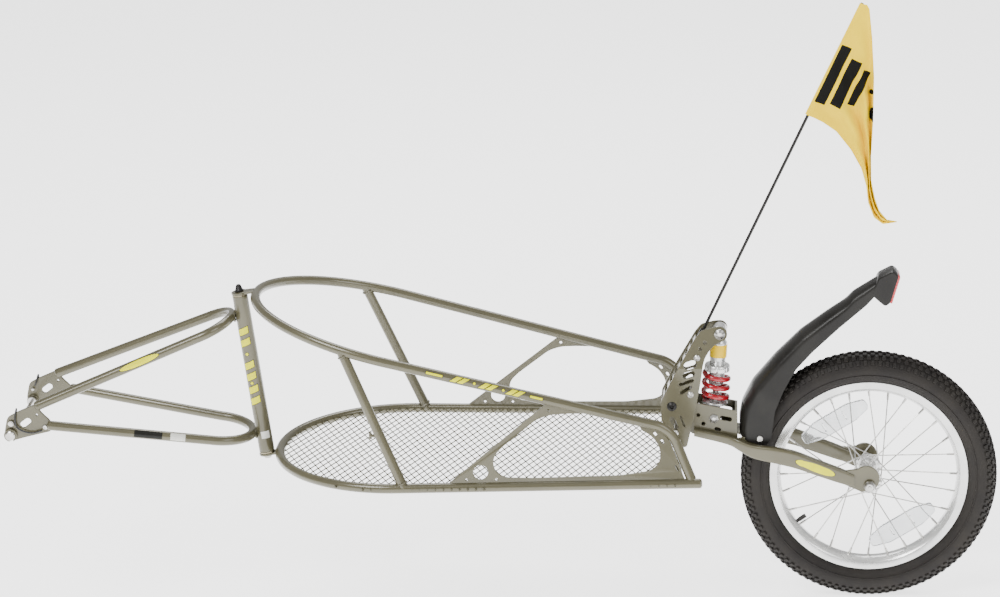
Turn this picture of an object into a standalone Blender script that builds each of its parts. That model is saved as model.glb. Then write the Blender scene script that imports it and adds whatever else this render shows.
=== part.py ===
"""Single-wheel suspension cargo trailer for a bicycle, as an assembly of separate pieces.

Metres, +Z up, +X towards the rear wheel, +Y towards the trailer's right side.
The origin is the hitch: the point midway between the two fork dropouts.
"""
import math

import bmesh
import bpy
from mathutils import Matrix, Vector
from mathutils.geometry import tessellate_polygon

# ---------------------------------------------------------------- driving dimensions
GAP = 0.0003                 # clearance between touching pieces
TUBE_R = 0.0078              # 5/8 in steel tube of the rails, struts and fork
WHEEL = Vector((1.374, 0.0, -0.103))     # wheel centre
FLOOR_Z = -0.055             # centre line of the lower rail
LOW_NOSE, LOW_LEN, LOW_END = 0.423, 0.200, 1.107
UP_NOSE, UP_LEN, UP_HALF = 0.3945, 0.215, 0.187
UP_Z, UP_FALL = 0.2060, 0.262            # upper rail's height at its nose, and its fall
UP_INSET = 0.015             # the upper rail stands this far inside the lower one
BEND_X, BEND_R = 1.036, 0.050            # the upper rail bends down to the lower rail here
BEND_END = math.radians(68)
TAIL_Z = -0.0378             # the upper rail's tail ends on the lower rail
HALF_AT, HALF_X, TAPER = 0.2015, 0.650, 0.042    # basket half-width, where, and its taper
STRUT_TOP_X, STRUT_LOW_X = 0.550, 0.643
CROSS_X = 1.070
PIVOT_LOW = Vector((0.3995, 0.0, -0.0599))
PIVOT_TOP = Vector((0.3680, 0.0, 0.2036))
PIVOT_R, PIVOT_BORE, BOLT_R = 0.0125, 0.0107, 0.0040
ARM_PIVOT = Vector((1.060, 0.0, 0.022))
SHOCK_TOP = Vector((1.1375, 0.0, 0.139))
SHOCK_LOW = Vector((1.1270, 0.0, 0.000))
MAST_HALF, ARM_HALF, SHEET = 0.0315, 0.0275, 0.003
DROPOUT_Y, DROPOUT_T = 0.0900, 0.005
TYRE_R, RIM_R, RIM_IN = 0.2055, 0.1590, 0.1410
FLANGE_Y, FLANGE_R, SPOKE_CIRCLE = 0.036, 0.0210, 0.0185
SPOKES_A_SIDE, SPOKE_R, CROSSES = 14, 0.0010, 3
VALVE_ANGLE = math.radians(-144.7)
REFLECTOR_ANGLES = (("upper", math.radians(121.5)), ("lower", math.radians(301.5)))
POLE_LOW, POLE_TOP, POLE_R = Vector((1.0986, 0.0, 0.1142)), Vector((1.3635, 0.0, 0.668)), 0.0025
FENDER_HALF, FENDER_WALL = 0.038, 0.0025
FENDER_SCREW = (1.2000, -0.0305)
BOSS_R = 0.0105
PIN_X, PIN_Z, PIN_R = 0.0020, 0.0195, 0.0025
LEVER_Y = 0.0713
SIDES = (("left", -1), ("right", 1))

for old in list(bpy.data.objects):
    bpy.data.objects.remove(old, do_unlink=True)


# ---------------------------------------------------------------- materials
def finish(name, colour, roughness, metallic=0.0):
    mat = bpy.data.materials.new(name)
    mat.use_nodes = True
    shader = mat.node_tree.nodes["Principled BSDF"]
    shader.inputs["Base Color"].default_value = (*colour, 1.0)
    shader.inputs["Roughness"].default_value = roughness
    shader.inputs["Metallic"].default_value = metallic
    return mat


PAINT = finish("frame_paint", (0.246, 0.223, 0.150), 0.35, 0.3)
STEEL = finish("zinc_steel", (0.55, 0.54, 0.52), 0.3, 1.0)
ALLOY = finish("polished_alloy", (0.75, 0.74, 0.72), 0.25, 1.0)
BLACK = finish("black_plastic", (0.035, 0.034, 0.033), 0.45)
RUBBER = finish("tyre_rubber", (0.035, 0.031, 0.028), 0.8)
RED_COAT = finish("red_spring_coat", (0.45, 0.03, 0.04), 0.3)
RED_LENS = finish("red_lens", (0.6, 0.02, 0.02), 0.15)
CLEAR = finish("clear_lens", (0.8, 0.8, 0.8), 0.1)
CLOTH = finish("yellow_cloth", (0.75, 0.50, 0.05), 0.9)
BRONZE = finish("bush_bronze", (0.35, 0.25, 0.12), 0.4, 1.0)


# ---------------------------------------------------------------- frames that the bodies turn in
def frame_at(name, place):
    empty = bpy.data.objects.new(name, None)
    empty.location = place
    bpy.context.collection.objects.link(empty)
    return empty


BASKET = frame_at("basket_frame", (0, 0, 0))
FORK = frame_at("fork_frame", PIVOT_LOW)
ARM = frame_at("arm_frame", ARM_PIVOT)
SHOCK = frame_at("shock_frame", SHOCK_TOP)
SHAFT = frame_at("shaft_frame", SHOCK_LOW)
AXLE = frame_at("wheel_frame", WHEEL)
LEVER = frame_at("lever_frame", WHEEL + Vector((0, LEVER_Y, 0)))
POLE = frame_at("pole_frame", POLE_LOW)


def attach(name, data, mat, frame, cutter=False):
    """Give a shape its object. The object's origin is its frame's, where a moving piece turns."""
    data.transform(Matrix.Translation(-frame.location))
    data.materials.append(mat)
    obj = bpy.data.objects.new(name, data)
    obj.parent = frame
    bpy.context.collection.objects.link(obj)
    if cutter:
        obj.hide_render = True
        obj.display_type = "WIRE"
    return obj


def combine(obj, other, operation):
    """Cut another shape from an object, or join it to the object."""
    other.hide_render = True
    other.display_type = "WIRE"
    modifier = obj.modifiers.new(operation.lower(), "BOOLEAN")
    modifier.operation = operation
    modifier.object = other
    return obj


def mesh_from(bm, name, smooth=True):
    bmesh.ops.recalc_face_normals(bm, faces=bm.faces)
    mesh = bpy.data.meshes.new(name)
    bm.to_mesh(mesh)
    bm.free()
    if smooth:
        mesh.shade_smooth()
        mesh.set_sharp_from_angle(angle=math.radians(35))
    return mesh


# ---------------------------------------------------------------- shape helpers
def circle(x, z, r, count=12):
    step = 2 * math.pi / count
    return [(x + r * math.cos(i * step), z + r * math.sin(i * step)) for i in range(count)]


def arc(x, z, r, first, last, count):
    """Points on an arc, in degrees, both ends included."""
    angles = [math.radians(first + (last - first) * i / (count - 1)) for i in range(count)]
    return [(x + r * math.cos(a), z + r * math.sin(a)) for a in angles]


def slot(x0, z0, x1, z1, r, count=5):
    """A round-ended slot between two points."""
    along = math.degrees(math.atan2(z1 - z0, x1 - x0))
    start = arc(x0, z0, r, along + 90, along + 270, count)
    return start + arc(x1, z1, r, along - 90, along + 90, count)


def plate_bm(loops, to_world, thickness):
    """A flat sheet with holes: loops[0] is its outline. to_world(u, v, w) places it."""
    flat = [[Vector((u, v, 0)) for u, v in loop] for loop in loops]
    points = [p for loop in flat for p in loop]
    bm = bmesh.new()
    verts = [bm.verts.new((p.x, p.y, 0)) for p in points]
    for tri in tessellate_polygon(flat):
        bm.faces.new([verts[i] for i in tri])
    grown = bmesh.ops.extrude_face_region(bm, geom=bm.faces[:])["geom"]
    for v in grown:
        if isinstance(v, bmesh.types.BMVert):
            v.co.z = thickness
    for v in bm.verts:
        v.co = to_world(*v.co)
    return bm


def plate(name, loops, y0, y1, mat, frame, **extra):
    """A sheet in the x-z plane between two values of y."""
    bm = plate_bm(loops, lambda u, v, w: Vector((u, y0 + w, v)), y1 - y0)
    return attach(name, mesh_from(bm, name, smooth=False), mat, frame, **extra)


def turned(name, outline, base, axis, mat, frame, steps=16, ring=False, **extra):
    """A solid of revolution. outline holds (distance along the axis, radius) pairs."""
    axis = Vector(axis).normalized()
    out = axis.orthogonal().normalized()
    bm = bmesh.new()
    verts = [bm.verts.new(base + axis * s + out * r) for s, r in outline]
    pairs = list(zip(verts, verts[1:]))
    if ring:
        pairs.append((verts[-1], verts[0]))
    edges = [bm.edges.new(pair) for pair in pairs]
    bmesh.ops.spin(bm, geom=verts + edges, cent=base, axis=axis, angle=2 * math.pi, steps=steps,
                   use_merge=True)
    bmesh.ops.remove_doubles(bm, verts=bm.verts, dist=1e-6)
    return attach(name, mesh_from(bm, name), mat, frame, **extra)


def bar(name, first, last, radius, mat, frame, steps=14, **extra):
    """A straight round bar between two points."""
    long = (last - first).length
    outline = [(0, 0), (0, radius), (long, radius), (long, 0)]
    return turned(name, outline, first, last - first, mat, frame, steps=steps, **extra)


def tube(name, points, radius, mat, frame, resolution=2):
    """A bent round bar along a list of points."""
    curve = bpy.data.curves.new(name, "CURVE")
    curve.dimensions = "3D"
    curve.bevel_depth = radius
    curve.bevel_resolution = resolution
    curve.use_fill_caps = True
    spline = curve.splines.new("POLY")
    spline.points.add(len(points) - 1)
    for p, co in zip(spline.points, points):
        p.co = (*co, 1.0)
    return attach(name, curve, mat, frame)


def smooth_route(points, pieces):
    """Points on one smooth curve through a short list of chosen points."""
    ends = [2 * points[0] - points[1]] + points + [2 * points[-1] - points[-2]]
    route = []
    for a, b, c, d in zip(ends, ends[1:], ends[2:], ends[3:]):
        for i in range(pieces):
            t = i / pieces
            route.append(0.5 * (2 * b + (c - a) * t + (2 * a - 5 * b + 4 * c - d) * t ** 2
                                + (3 * b - a - 3 * c + d) * t ** 3))
    return route + [points[-1]]


def channel(name, outer, inner, holes, half, wall, mat, frame):
    """A folded sheet channel: a block cut to its side view, hollowed, and drilled across."""
    body = plate(name, [outer], -half, half, mat, frame)
    hollow = plate(name + "_hollow", [inner], wall - half, half - wall, mat, frame, cutter=True)
    combine(body, hollow, "DIFFERENCE")
    drills = bmesh.new()
    for hole in holes:
        one = mesh_from(plate_bm([hole], lambda u, v, w: Vector((u, w - half - 0.01, v)),
                                 2 * half + 0.02), "drill", smooth=False)
        drills.from_mesh(one)
    drill = mesh_from(drills, name + "_drills", smooth=False)
    combine(body, attach(name + "_drills", drill, mat, frame, cutter=True), "DIFFERENCE")
    return body


# ---------------------------------------------------------------- basket rails
def half_low(x):
    return HALF_AT - TAPER * (x - HALF_X)


def height_up(x):
    return UP_Z - UP_FALL * (x - UP_NOSE)


def nose(front, length, half, count=11):
    """The left half of a rail's rounded front, from the centre back, as (x, half-width)."""
    turns = [math.pi / 2 * i / (count - 1) for i in range(count)]
    return [(front + length * (1 - math.cos(t)), half * math.sin(t)) for t in turns]


def upper_side(drop, count=6):
    """Side view of the upper rail from its bend down to its tail, moved inwards by drop."""
    fall = math.atan(UP_FALL)
    cx = BEND_X - BEND_R * math.sin(fall)
    cz = height_up(BEND_X) - BEND_R * math.cos(fall)
    turns = [fall + (BEND_END - fall) * i / (count - 1) for i in range(count)]
    bend = [(cx + (BEND_R - drop) * math.sin(t), cz + (BEND_R - drop) * math.cos(t)) for t in turns]
    x, z = bend[-1]
    low = TAIL_Z if drop == 0 else FLOOR_Z + TUBE_R + GAP
    return bend + [(x + (z - low) / math.tan(BEND_END), low)]


def mirrored_loop(half_path):
    """A whole rail from one half that starts on the centre line."""
    left = [Vector((x, -y, z)) for x, y, z in reversed(half_path)]
    return left + [Vector(p) for p in half_path[1:]]


def lower_path():
    front = [(x, y, FLOOR_Z) for x, y in nose(LOW_NOSE, LOW_LEN, half_low(LOW_NOSE + LOW_LEN))]
    return front + [(LOW_END, half_low(LOW_END), FLOOR_Z)]


def upper_path():
    front = [(x, y, height_up(x)) for x, y in nose(UP_NOSE, UP_LEN, UP_HALF)]
    return front + [(x, half_low(x) - UP_INSET, z) for x, z in upper_side(0)]


def build_rails():
    tube("lower_rail", mirrored_loop(lower_path()), TUBE_R, PAINT, BASKET)
    tube("upper_rail", mirrored_loop(upper_path()), TUBE_R, PAINT, BASKET)
    reach = half_low(CROSS_X) - TUBE_R - GAP
    ends = [Vector((CROSS_X, -reach, FLOOR_Z)), Vector((CROSS_X, reach, FLOOR_Z))]
    tube("rear_crossbar", ends, TUBE_R, PAINT, BASKET)


def place_on(path, x, sign):
    """The point of a rail at x, and the rail's direction there."""
    before, after = next((a, b) for a, b in zip(path, path[1:]) if b[0] >= x)
    ends = [Vector((p[0], sign * p[1], p[2])) for p in (before, after)]
    return ends[0].lerp(ends[1], (x - before[0]) / (after[0] - before[0])), (ends[1] - ends[0]).normalized()


def build_struts():
    """Each strut is mitred to fit round both rails, and carries a small hook for a bungee."""
    for side, sign in SIDES:
        joints = [place_on(upper_path(), STRUT_TOP_X, sign), place_on(lower_path(), STRUT_LOW_X, sign)]
        top, low = joints[0][0], joints[1][0]
        strut = bar(f"front_strut_{side}", top, low, TUBE_R, PAINT, BASKET)
        foot = top.lerp(low, 0.62)
        tip = foot + Vector((-0.016, -sign * 0.012, -0.003))
        combine(strut, bar(f"hook_{side}", foot, tip, 0.003, PAINT, BASKET, steps=8, cutter=True), "UNION")
        for i, (place, along) in enumerate(joints):
            mitre = bar(f"mitre_{side}_{i}", place - along * 0.03, place + along * 0.03, TUBE_R + GAP,
                        PAINT, BASKET, steps=24, cutter=True)
            combine(strut, mitre, "DIFFERENCE")


def side_plane(x, z):
    """Half-width of the leaning side of the basket at a place on it."""
    rise = (z - FLOOR_Z) / (height_up(x) - FLOOR_Z)
    return half_low(x) - UP_INSET * min(max(rise, 0), 1)


def build_side_panels():
    """A laser-cut sheet that joins the two rails: a strap, a triangle in front, a web behind."""
    base = FLOOR_Z + TUBE_R + GAP
    drop = 0.0085
    edge = upper_side(TUBE_R + GAP)
    outline = [(0.714, base), edge[-1]]
    outline += list(reversed(edge[:-1]))
    outline += [(1.012, height_up(1.012) - drop), (1.024, 0.026), (1.034, 0.019), (1.043, 0.006)]
    outline += [(1.046, -0.008), (1.043, -0.023), (1.030, -0.034), (0.980, -0.0405), (0.845, -0.0415)]
    outline += [(0.803, -0.0400), (0.788, -0.032), (0.783, -0.018), (0.786, -0.004), (0.798, 0.0090)]
    outline += [(0.852, 0.0515), (0.872, 0.0585), (0.900, 0.0600), (0.926, height_up(0.926) - drop)]
    outline += [(0.868, height_up(0.868) - drop)]
    holes = [circle(0.764, -0.031, 0.0115, 14), circle(0.742, -0.0425, 0.0022, 6)]
    holes += [circle(0.7885, -0.0425, 0.0022, 6), circle(0.872, 0.0655, 0.0025, 6)]
    holes += [slot(1.036, 0.0255, 1.0385, 0.0225, 0.0022, 4), slot(1.0475, 0.0130, 1.0490, 0.0100, 0.0022, 4)]
    holes += [slot(1.069, -0.027, 1.073, -0.034, 0.0020, 4)]
    half_sheet = 0.00125
    for side, sign in SIDES:
        name = f"side_panel_{side}"
        bm = plate_bm([outline] + holes,
                      lambda u, v, w: Vector((u, sign * (side_plane(u, v) + w - half_sheet), v)),
                      2 * half_sheet)
        attach(name, mesh_from(bm, name, smooth=False), PAINT, BASKET)


def build_floor():
    """The sheet of expanded metal that closes the bottom of the basket."""
    inset = TUBE_R + GAP
    front = nose(LOW_NOSE + inset, LOW_LEN - inset, half_low(LOW_NOSE + LOW_LEN) - inset)
    rear = CROSS_X - inset
    half = front + [(rear, half_low(rear) - inset)]
    outline = half + [(x, -y) for x, y in reversed(half[1:])]
    bm = plate_bm([outline], lambda u, v, w: Vector((u, v, FLOOR_Z - 0.001 + w)), 0.002)
    attach("floor_mesh", mesh_from(bm, "floor_mesh", smooth=False), PAINT, BASKET)


# ---------------------------------------------------------------- pivot between fork and basket
PIVOT_AXIS = (PIVOT_TOP - PIVOT_LOW).normalized()
PIVOT_LEN = (PIVOT_TOP - PIVOT_LOW).length
FLANGE, LUG_T = 0.0020, 0.0040
LUG_LOW = -(2 * GAP + FLANGE + LUG_T)
LUG_TOP = PIVOT_LEN + 2 * GAP + FLANGE


def on_pivot(name, outline, mat, frame, **extra):
    return turned(name, outline, PIVOT_LOW, PIVOT_AXIS, mat, frame, **extra)


def build_lug(name, along, reach, width):
    """A welded eye that holds the pivot bolt, with a short neck back to its rail."""
    across = Vector((0, 1, 0))
    back = across.cross(PIVOT_AXIS)
    start = math.degrees(math.asin(width / PIVOT_R))
    outline = arc(0, 0, PIVOT_R, start, 360 - start, 17) + [(reach, -width), (reach, width)]
    origin = PIVOT_LOW + PIVOT_AXIS * along
    bm = plate_bm([outline, circle(0, 0, BOLT_R + GAP, 16)],
                  lambda u, v, w: origin + back * u + across * v + PIVOT_AXIS * w, LUG_T)
    attach(name, mesh_from(bm, name, smooth=False), PAINT, BASKET)


def build_pivot():
    hollow = [(0, PIVOT_R), (PIVOT_LEN, PIVOT_R), (PIVOT_LEN, PIVOT_BORE), (0, PIVOT_BORE)]
    on_pivot("pivot_tube", hollow, PAINT, FORK, steps=24, ring=True)
    stub, bore, sleeve = PIVOT_BORE - GAP, BOLT_R + GAP, 0.018
    low_flange = -GAP - FLANGE
    low_bush = [(low_flange, PIVOT_R), (-GAP, PIVOT_R), (-GAP, stub), (sleeve, stub), (sleeve, bore)]
    on_pivot("lower_bush", low_bush + [(low_flange, bore)], BRONZE, FORK, ring=True)
    high = PIVOT_LEN + GAP
    top_bush = [(high + FLANGE, bore), (PIVOT_LEN - sleeve, bore), (PIVOT_LEN - sleeve, stub)]
    top_bush += [(high, stub), (high, PIVOT_R), (high + FLANGE, PIVOT_R)]
    on_pivot("upper_bush", top_bush, BRONZE, FORK, ring=True)
    head = LUG_LOW - GAP
    bolt_end = LUG_TOP + LUG_T + 0.006
    bolt = [(head - 0.005, 0), (head - 0.005, 0.0058), (head, 0.0065), (head, BOLT_R)]
    on_pivot("pivot_bolt", bolt + [(bolt_end, BOLT_R), (bolt_end, 0)], STEEL, BASKET, steps=16)
    seat = LUG_TOP + LUG_T + GAP
    cap = [(bolt_end + GAP, 0), (bolt_end + GAP, bore), (seat, bore), (seat, 0.0070)]
    cap += [(seat + 0.002, 0.0070), (seat + 0.0095, 0.0042), (seat + 0.0115, 0.0025), (seat + 0.0118, 0)]
    on_pivot("pivot_cap", cap, BLACK, BASKET)
    build_lug("lower_lug", LUG_LOW, 0.0163, 0.0085)
    build_lug("upper_lug", LUG_TOP, 0.0187, 0.0090)


# ---------------------------------------------------------------- fork
def fork_half(dropout_end, bend_start, apex_x, apex_z, count=8):
    """One side of a fork tube: straight, then a quarter of an ellipse to the centre line."""
    x0, y0, z0 = bend_start
    path = [dropout_end]
    for i in range(count + 1):
        t = math.pi / 2 * i / count
        x = x0 + (apex_x - x0) * math.sin(t)
        path.append((x, y0 * math.cos(t), z0 + (apex_z - z0) * math.sin(t)))
    return list(reversed(path))


def build_fork():
    upper = fork_half((0.0480, 0.0865, 0.0478), (0.305, 0.0600, 0.1500), 0.3505, 0.1685)
    tube("fork_upper_tube", mirrored_loop(upper), TUBE_R, PAINT, FORK)
    lower = fork_half((0.0720, 0.0960, 0.0155), (0.318, 0.0620, -0.0212), 0.3750, -0.0290)
    tube("fork_lower_tube", mirrored_loop(lower), TUBE_R, PAINT, FORK)
    boss = arc(0, 0, BOSS_R, 110, 420 - 60, 13)
    outline = boss + [(0.024, -0.0040), (0.0655, 0.0065), (0.0640, 0.0220), (0.0530, 0.0330)]
    outline += [(0.0455, 0.0420), (0.0390, 0.0480), (0.0130, 0.0370), (-0.0040, 0.0280)]
    window = slot(0.0210, 0.0165, 0.0290, 0.0225, 0.0055)
    ears = [circle(0.0565, 0.0125, 0.0024, 8), circle(0.0440, 0.0330, 0.0022, 8)]
    pin_hole = circle(PIN_X, PIN_Z, PIN_R + GAP, 10)
    skewer_seat = circle(0, 0, 0.0044, 12)
    for side, sign in SIDES:
        inner, outer = sorted((sign * (DROPOUT_Y - DROPOUT_T / 2), sign * (DROPOUT_Y + DROPOUT_T / 2)))
        plate(f"dropout_{side}", [outline, window, pin_hole, skewer_seat] + ears, inner, outer,
              PAINT, FORK)
        head = DROPOUT_Y + DROPOUT_T / 2 + GAP
        screw = [(head - DROPOUT_T - 0.003, 0), (head - DROPOUT_T - 0.003, 0.0020), (head, 0.0020)]
        screw += [(head, 0.0042), (head + 0.0025, 0.0038), (head + 0.0025, 0)]
        turned(f"lanyard_screw_{side}", screw, Vector((0.0565, 0, 0.0125)), (0, sign, 0), STEEL, FORK,
               steps=12)
        pin = [(0.0800, 0), (0.0800, PIN_R), (head, PIN_R), (head, 0.0048), (head + 0.003, 0.0048)]
        turned(f"retention_pin_{side}", pin + [(head + 0.0045, 0.003), (head + 0.0045, 0)],
               Vector((PIN_X, 0, PIN_Z)), (0, sign, 0), STEEL, FORK, steps=12)
        lanyard(side, sign)
    end = DROPOUT_Y + DROPOUT_T / 2 + 0.0095
    nub = DROPOUT_Y + DROPOUT_T / 2 + GAP
    collar = DROPOUT_Y - DROPOUT_T / 2 - GAP
    half = [(end, 0), (end, 0.0080), (end - 0.0015, 0.0095), (nub, 0.0095), (nub, 0.0040)]
    half += [(collar, 0.0040), (collar, 0.0080), (collar - 0.010, 0.0080), (collar - 0.010, 0.0028)]
    mirrored = [(-s, r) for s, r in reversed(half)]
    turned("hitch_skewer", half + mirrored, Vector((0, 0, 0)), (0, 1, 0), STEEL, FORK, steps=12)


def lanyard(side, sign):
    """The coated wire loop that keeps a retention pin with the fork."""
    out, inside = DROPOUT_Y + 0.0068, DROPOUT_Y - 0.0062
    stops = [(0.0520, out, 0.0080), (0.0360, out, 0.0040), (0.0200, out, 0.0075)]
    stops += [(0.0100, out, 0.0165), (0.0095, out, 0.0310), (0.0110, DROPOUT_Y, 0.0425)]
    stops += [(0.0085, inside, 0.0330), (0.0055, inside, 0.0255)]
    route = smooth_route([Vector((x, sign * y, z)) for x, y, z in stops], 3)
    tube(f"lanyard_{side}", route, 0.0014, BLACK, FORK)


# ---------------------------------------------------------------- mast and its bolts
def cross_bolt(name, x, z, reach, shank, head, frame, thick=0.003, sides=16):
    """A bolt across the trailer, with a head on the left and a nut on the right."""
    outline = [(-reach - thick, 0), (-reach - thick, head * 0.9), (-reach, head), (-reach, shank)]
    outline += [(reach, shank), (reach, head), (reach + thick, head * 0.9), (reach + thick, 0)]
    return turned(name, outline, Vector((x, 0, z)), (0, 1, 0), STEEL, frame, steps=sides)


def build_mast():
    outer = [(1.043, -0.001), (1.043, 0.031), (1.065, 0.074), (1.098, 0.132), (1.108, 0.1445)]
    outer += [(1.120, 0.1500), (1.132, 0.1530)] + arc(SHOCK_TOP.x, SHOCK_TOP.z, 0.0135, 85, -55, 8)
    outer += [(1.132, 0.1245), (1.1215, 0.1150), (1.1135, 0.1020), (1.110, 0.0900), (1.106, 0.0620)]
    outer += [(1.097, 0.0140), (1.0830, -0.0466), (1.0610, -0.0466), (1.0560, -0.0230)]
    inner = [(1.020, -0.060), (1.0462, -0.0100), (1.0462, 0.0302), (1.0678, 0.0727), (1.0960, 0.1220)]
    inner += [(1.060, 0.1450), (1.060, 0.180), (1.180, 0.180), (1.180, -0.060)]
    holes = [circle(1.114, 0.126, 0.0024, 8), circle(1.1065, 0.1160, 0.0024, 8)]
    holes += [circle(1.0600, 0.0220, 0.0063, 14), circle(SHOCK_TOP.x, SHOCK_TOP.z, BOLT_R + GAP, 12)]
    holes += [circle(x, z, 0.0028, 8) for x, z in MAST_BOLTS]
    holes += [slot(1.0875, 0.0895, 1.0935, 0.0915, 0.0060, 4), slot(1.0830, 0.0735, 1.0915, 0.0755, 0.0048, 4)]
    holes += [slot(1.0755, 0.0605, 1.0935, 0.0655, 0.0024, 4), slot(1.0780, 0.0495, 1.0915, 0.0570, 0.0028, 4)]
    holes += [slot(1.0600, 0.0020, 1.0660, -0.0120, 0.0034, 4), slot(1.0735, 0.0050, 1.0780, -0.0080, 0.0015, 4)]
    channel("mast", outer, inner, holes, MAST_HALF, SHEET, PAINT, BASKET)
    for name, place in zip(("upper", "middle", "lower"), MAST_BOLTS):
        cross_bolt(f"mast_bolt_{name}", *place, MAST_HALF + GAP, 0.0025, 0.0050, BASKET, sides=12)
    cross_bolt("shock_top_bolt", SHOCK_TOP.x, SHOCK_TOP.z, MAST_HALF + GAP, BOLT_R, 0.0085, BASKET,
               thick=0.005)
    cross_bolt("arm_pivot_bolt", ARM_PIVOT.x, ARM_PIVOT.z, MAST_HALF + GAP, 0.0060, 0.0085, BASKET,
               thick=0.004)


MAST_BOLTS = ((1.1010, 0.1020), (1.0900, 0.0415), (1.0650, -0.0230))


def build_flag():
    up = (POLE_TOP - POLE_LOW).normalized()
    tall = (POLE_TOP - POLE_LOW).length
    bore, wall = POLE_R + GAP, 0.0050
    cup = [(-0.0025, 0), (-0.0025, wall), (0.030, wall), (0.030, bore), (-GAP, bore), (-GAP, 0)]
    turned("flag_socket", cup, POLE_LOW, up, BLACK, BASKET, steps=14)
    rod = [(0, 0), (0, POLE_R), (tall, POLE_R), (tall, 0)]
    turned("flag_pole", rod, POLE_LOW, up, BLACK, POLE, steps=10)
    outline = [(1.3662, 0.6670), (1.2822, 0.4915), (1.3050, 0.4780), (1.3230, 0.4640), (1.3460, 0.4340)]
    outline += [(1.3660, 0.3960), (1.3705, 0.3460), (1.3810, 0.3180), (1.3980, 0.3050), (1.4180, 0.3160)]
    outline += [(1.4020, 0.3190), (1.3880, 0.3350), (1.3810, 0.3600), (1.3755, 0.4040), (1.3790, 0.4830)]
    outline += [(1.3810, 0.5510), (1.3780, 0.6130), (1.3725, 0.6585)]
    plate("flag", [outline], -0.003, 0.003, CLOTH, POLE)


# ---------------------------------------------------------------- swing arm
def build_arm():
    outer = arc(ARM_PIVOT.x, ARM_PIVOT.z, 0.0130, 250, 75, 12) + [(1.1050, 0.0245), (1.1640, 0.0120)]
    outer += [(1.1640, -0.0405), (1.1500, -0.0380), (1.0920, -0.0245)]
    inner = [(1.030, 0.060), (1.1610, 0.060), (1.1610, -0.0365), (1.1500, -0.0345), (1.0920, -0.0210)]
    inner += [(1.0880, -0.050), (1.030, -0.050)]
    holes = [circle(ARM_PIVOT.x, ARM_PIVOT.z, 0.0063, 14), circle(SHOCK_LOW.x, SHOCK_LOW.z, BOLT_R + GAP, 12)]
    holes += [circle(1.1020, 0.0060, 0.0028, 8), circle(1.1100, -0.0085, 0.0026, 8)]
    holes += [slot(1.1310, -0.0175, 1.1345, -0.0185, 0.0024, 4), slot(1.1400, 0.0010, 1.1520, -0.0015, 0.0030, 4)]
    channel("arm_box", outer, inner, holes, ARM_HALF, SHEET, PAINT, ARM)
    cross_bolt("shock_lower_bolt", SHOCK_LOW.x, SHOCK_LOW.z, ARM_HALF + GAP, BOLT_R, 0.0080, ARM,
               thick=0.0045)
    stations = [(1.095, 0.0339, -0.0205, 0.0120, 0.0115), (1.148, 0.0350, -0.0330, 0.0145, 0.0120)]
    stations += [(1.168, 0.0412, -0.0405, 0.0180, 0.0125), (1.190, 0.0480, -0.0485, 0.0220, 0.0130)]
    stations += [(1.225, 0.0545, -0.0530, 0.0265, 0.0140), (1.256, 0.0570, -0.0595, 0.0280, 0.0140)]
    stations += [(1.327, 0.0570, -0.0865, 0.0245, 0.0140), (1.350, 0.0570, -0.0950, 0.0200, 0.0110)]
    tab = [(1.150, -0.0400), (1.172, -0.0440), (1.208, -0.0405), (1.208, -0.0240), (1.192, -0.0240)]
    tab += [(1.166, -0.0320), (1.150, -0.0290)]
    end = [(1.335, -0.079)] + arc(1.369, -0.092, 0.0205, 130, -45, 10) + [(1.3790, -0.1120)]
    end += arc(WHEEL.x, WHEEL.z, 0.0050, 0, 180, 7) + [(1.3690, -0.1120), (1.362, -0.1135), (1.335, -0.101)]
    for side, sign in SIDES:
        leg = loft(f"leg_{side}", stations, sign)
        pieces = (("tab", [tab, circle(*FENDER_SCREW, 0.0027, 8)], 0.0300, 0.0352),
                  ("end", [end], 0.0545, 0.0595))
        for label, loops, y0, y1 in pieces:
            low, high = sorted((sign * y0, sign * y1))
            piece = plate(f"{label}_{side}", loops, low, high, PAINT, ARM, cutter=True)
            combine(leg, piece, "UNION")


def loft(name, stations, sign):
    """A square tube that swells and wanders: each station is x, y, z, height and width."""
    bm = bmesh.new()
    rings = []
    for x, y, z, tall, wide in stations:
        a, b, c = wide / 2, tall / 2, 0.003
        corners = [(a, b - c), (a - c, b), (c - a, b), (-a, b - c), (-a, c - b), (c - a, -b), (a - c, -b), (a, c - b)]
        rings.append([bm.verts.new((x, sign * (y + dy), z + dz)) for dy, dz in corners])
    for near, far in zip(rings, rings[1:]):
        for i in range(8):
            j = (i + 1) % 8
            bm.faces.new((near[i], near[j], far[j], far[i]))
    bm.faces.new(rings[0])
    bm.faces.new(rings[-1])
    return attach(name, mesh_from(bm, name), PAINT, ARM)


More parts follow.
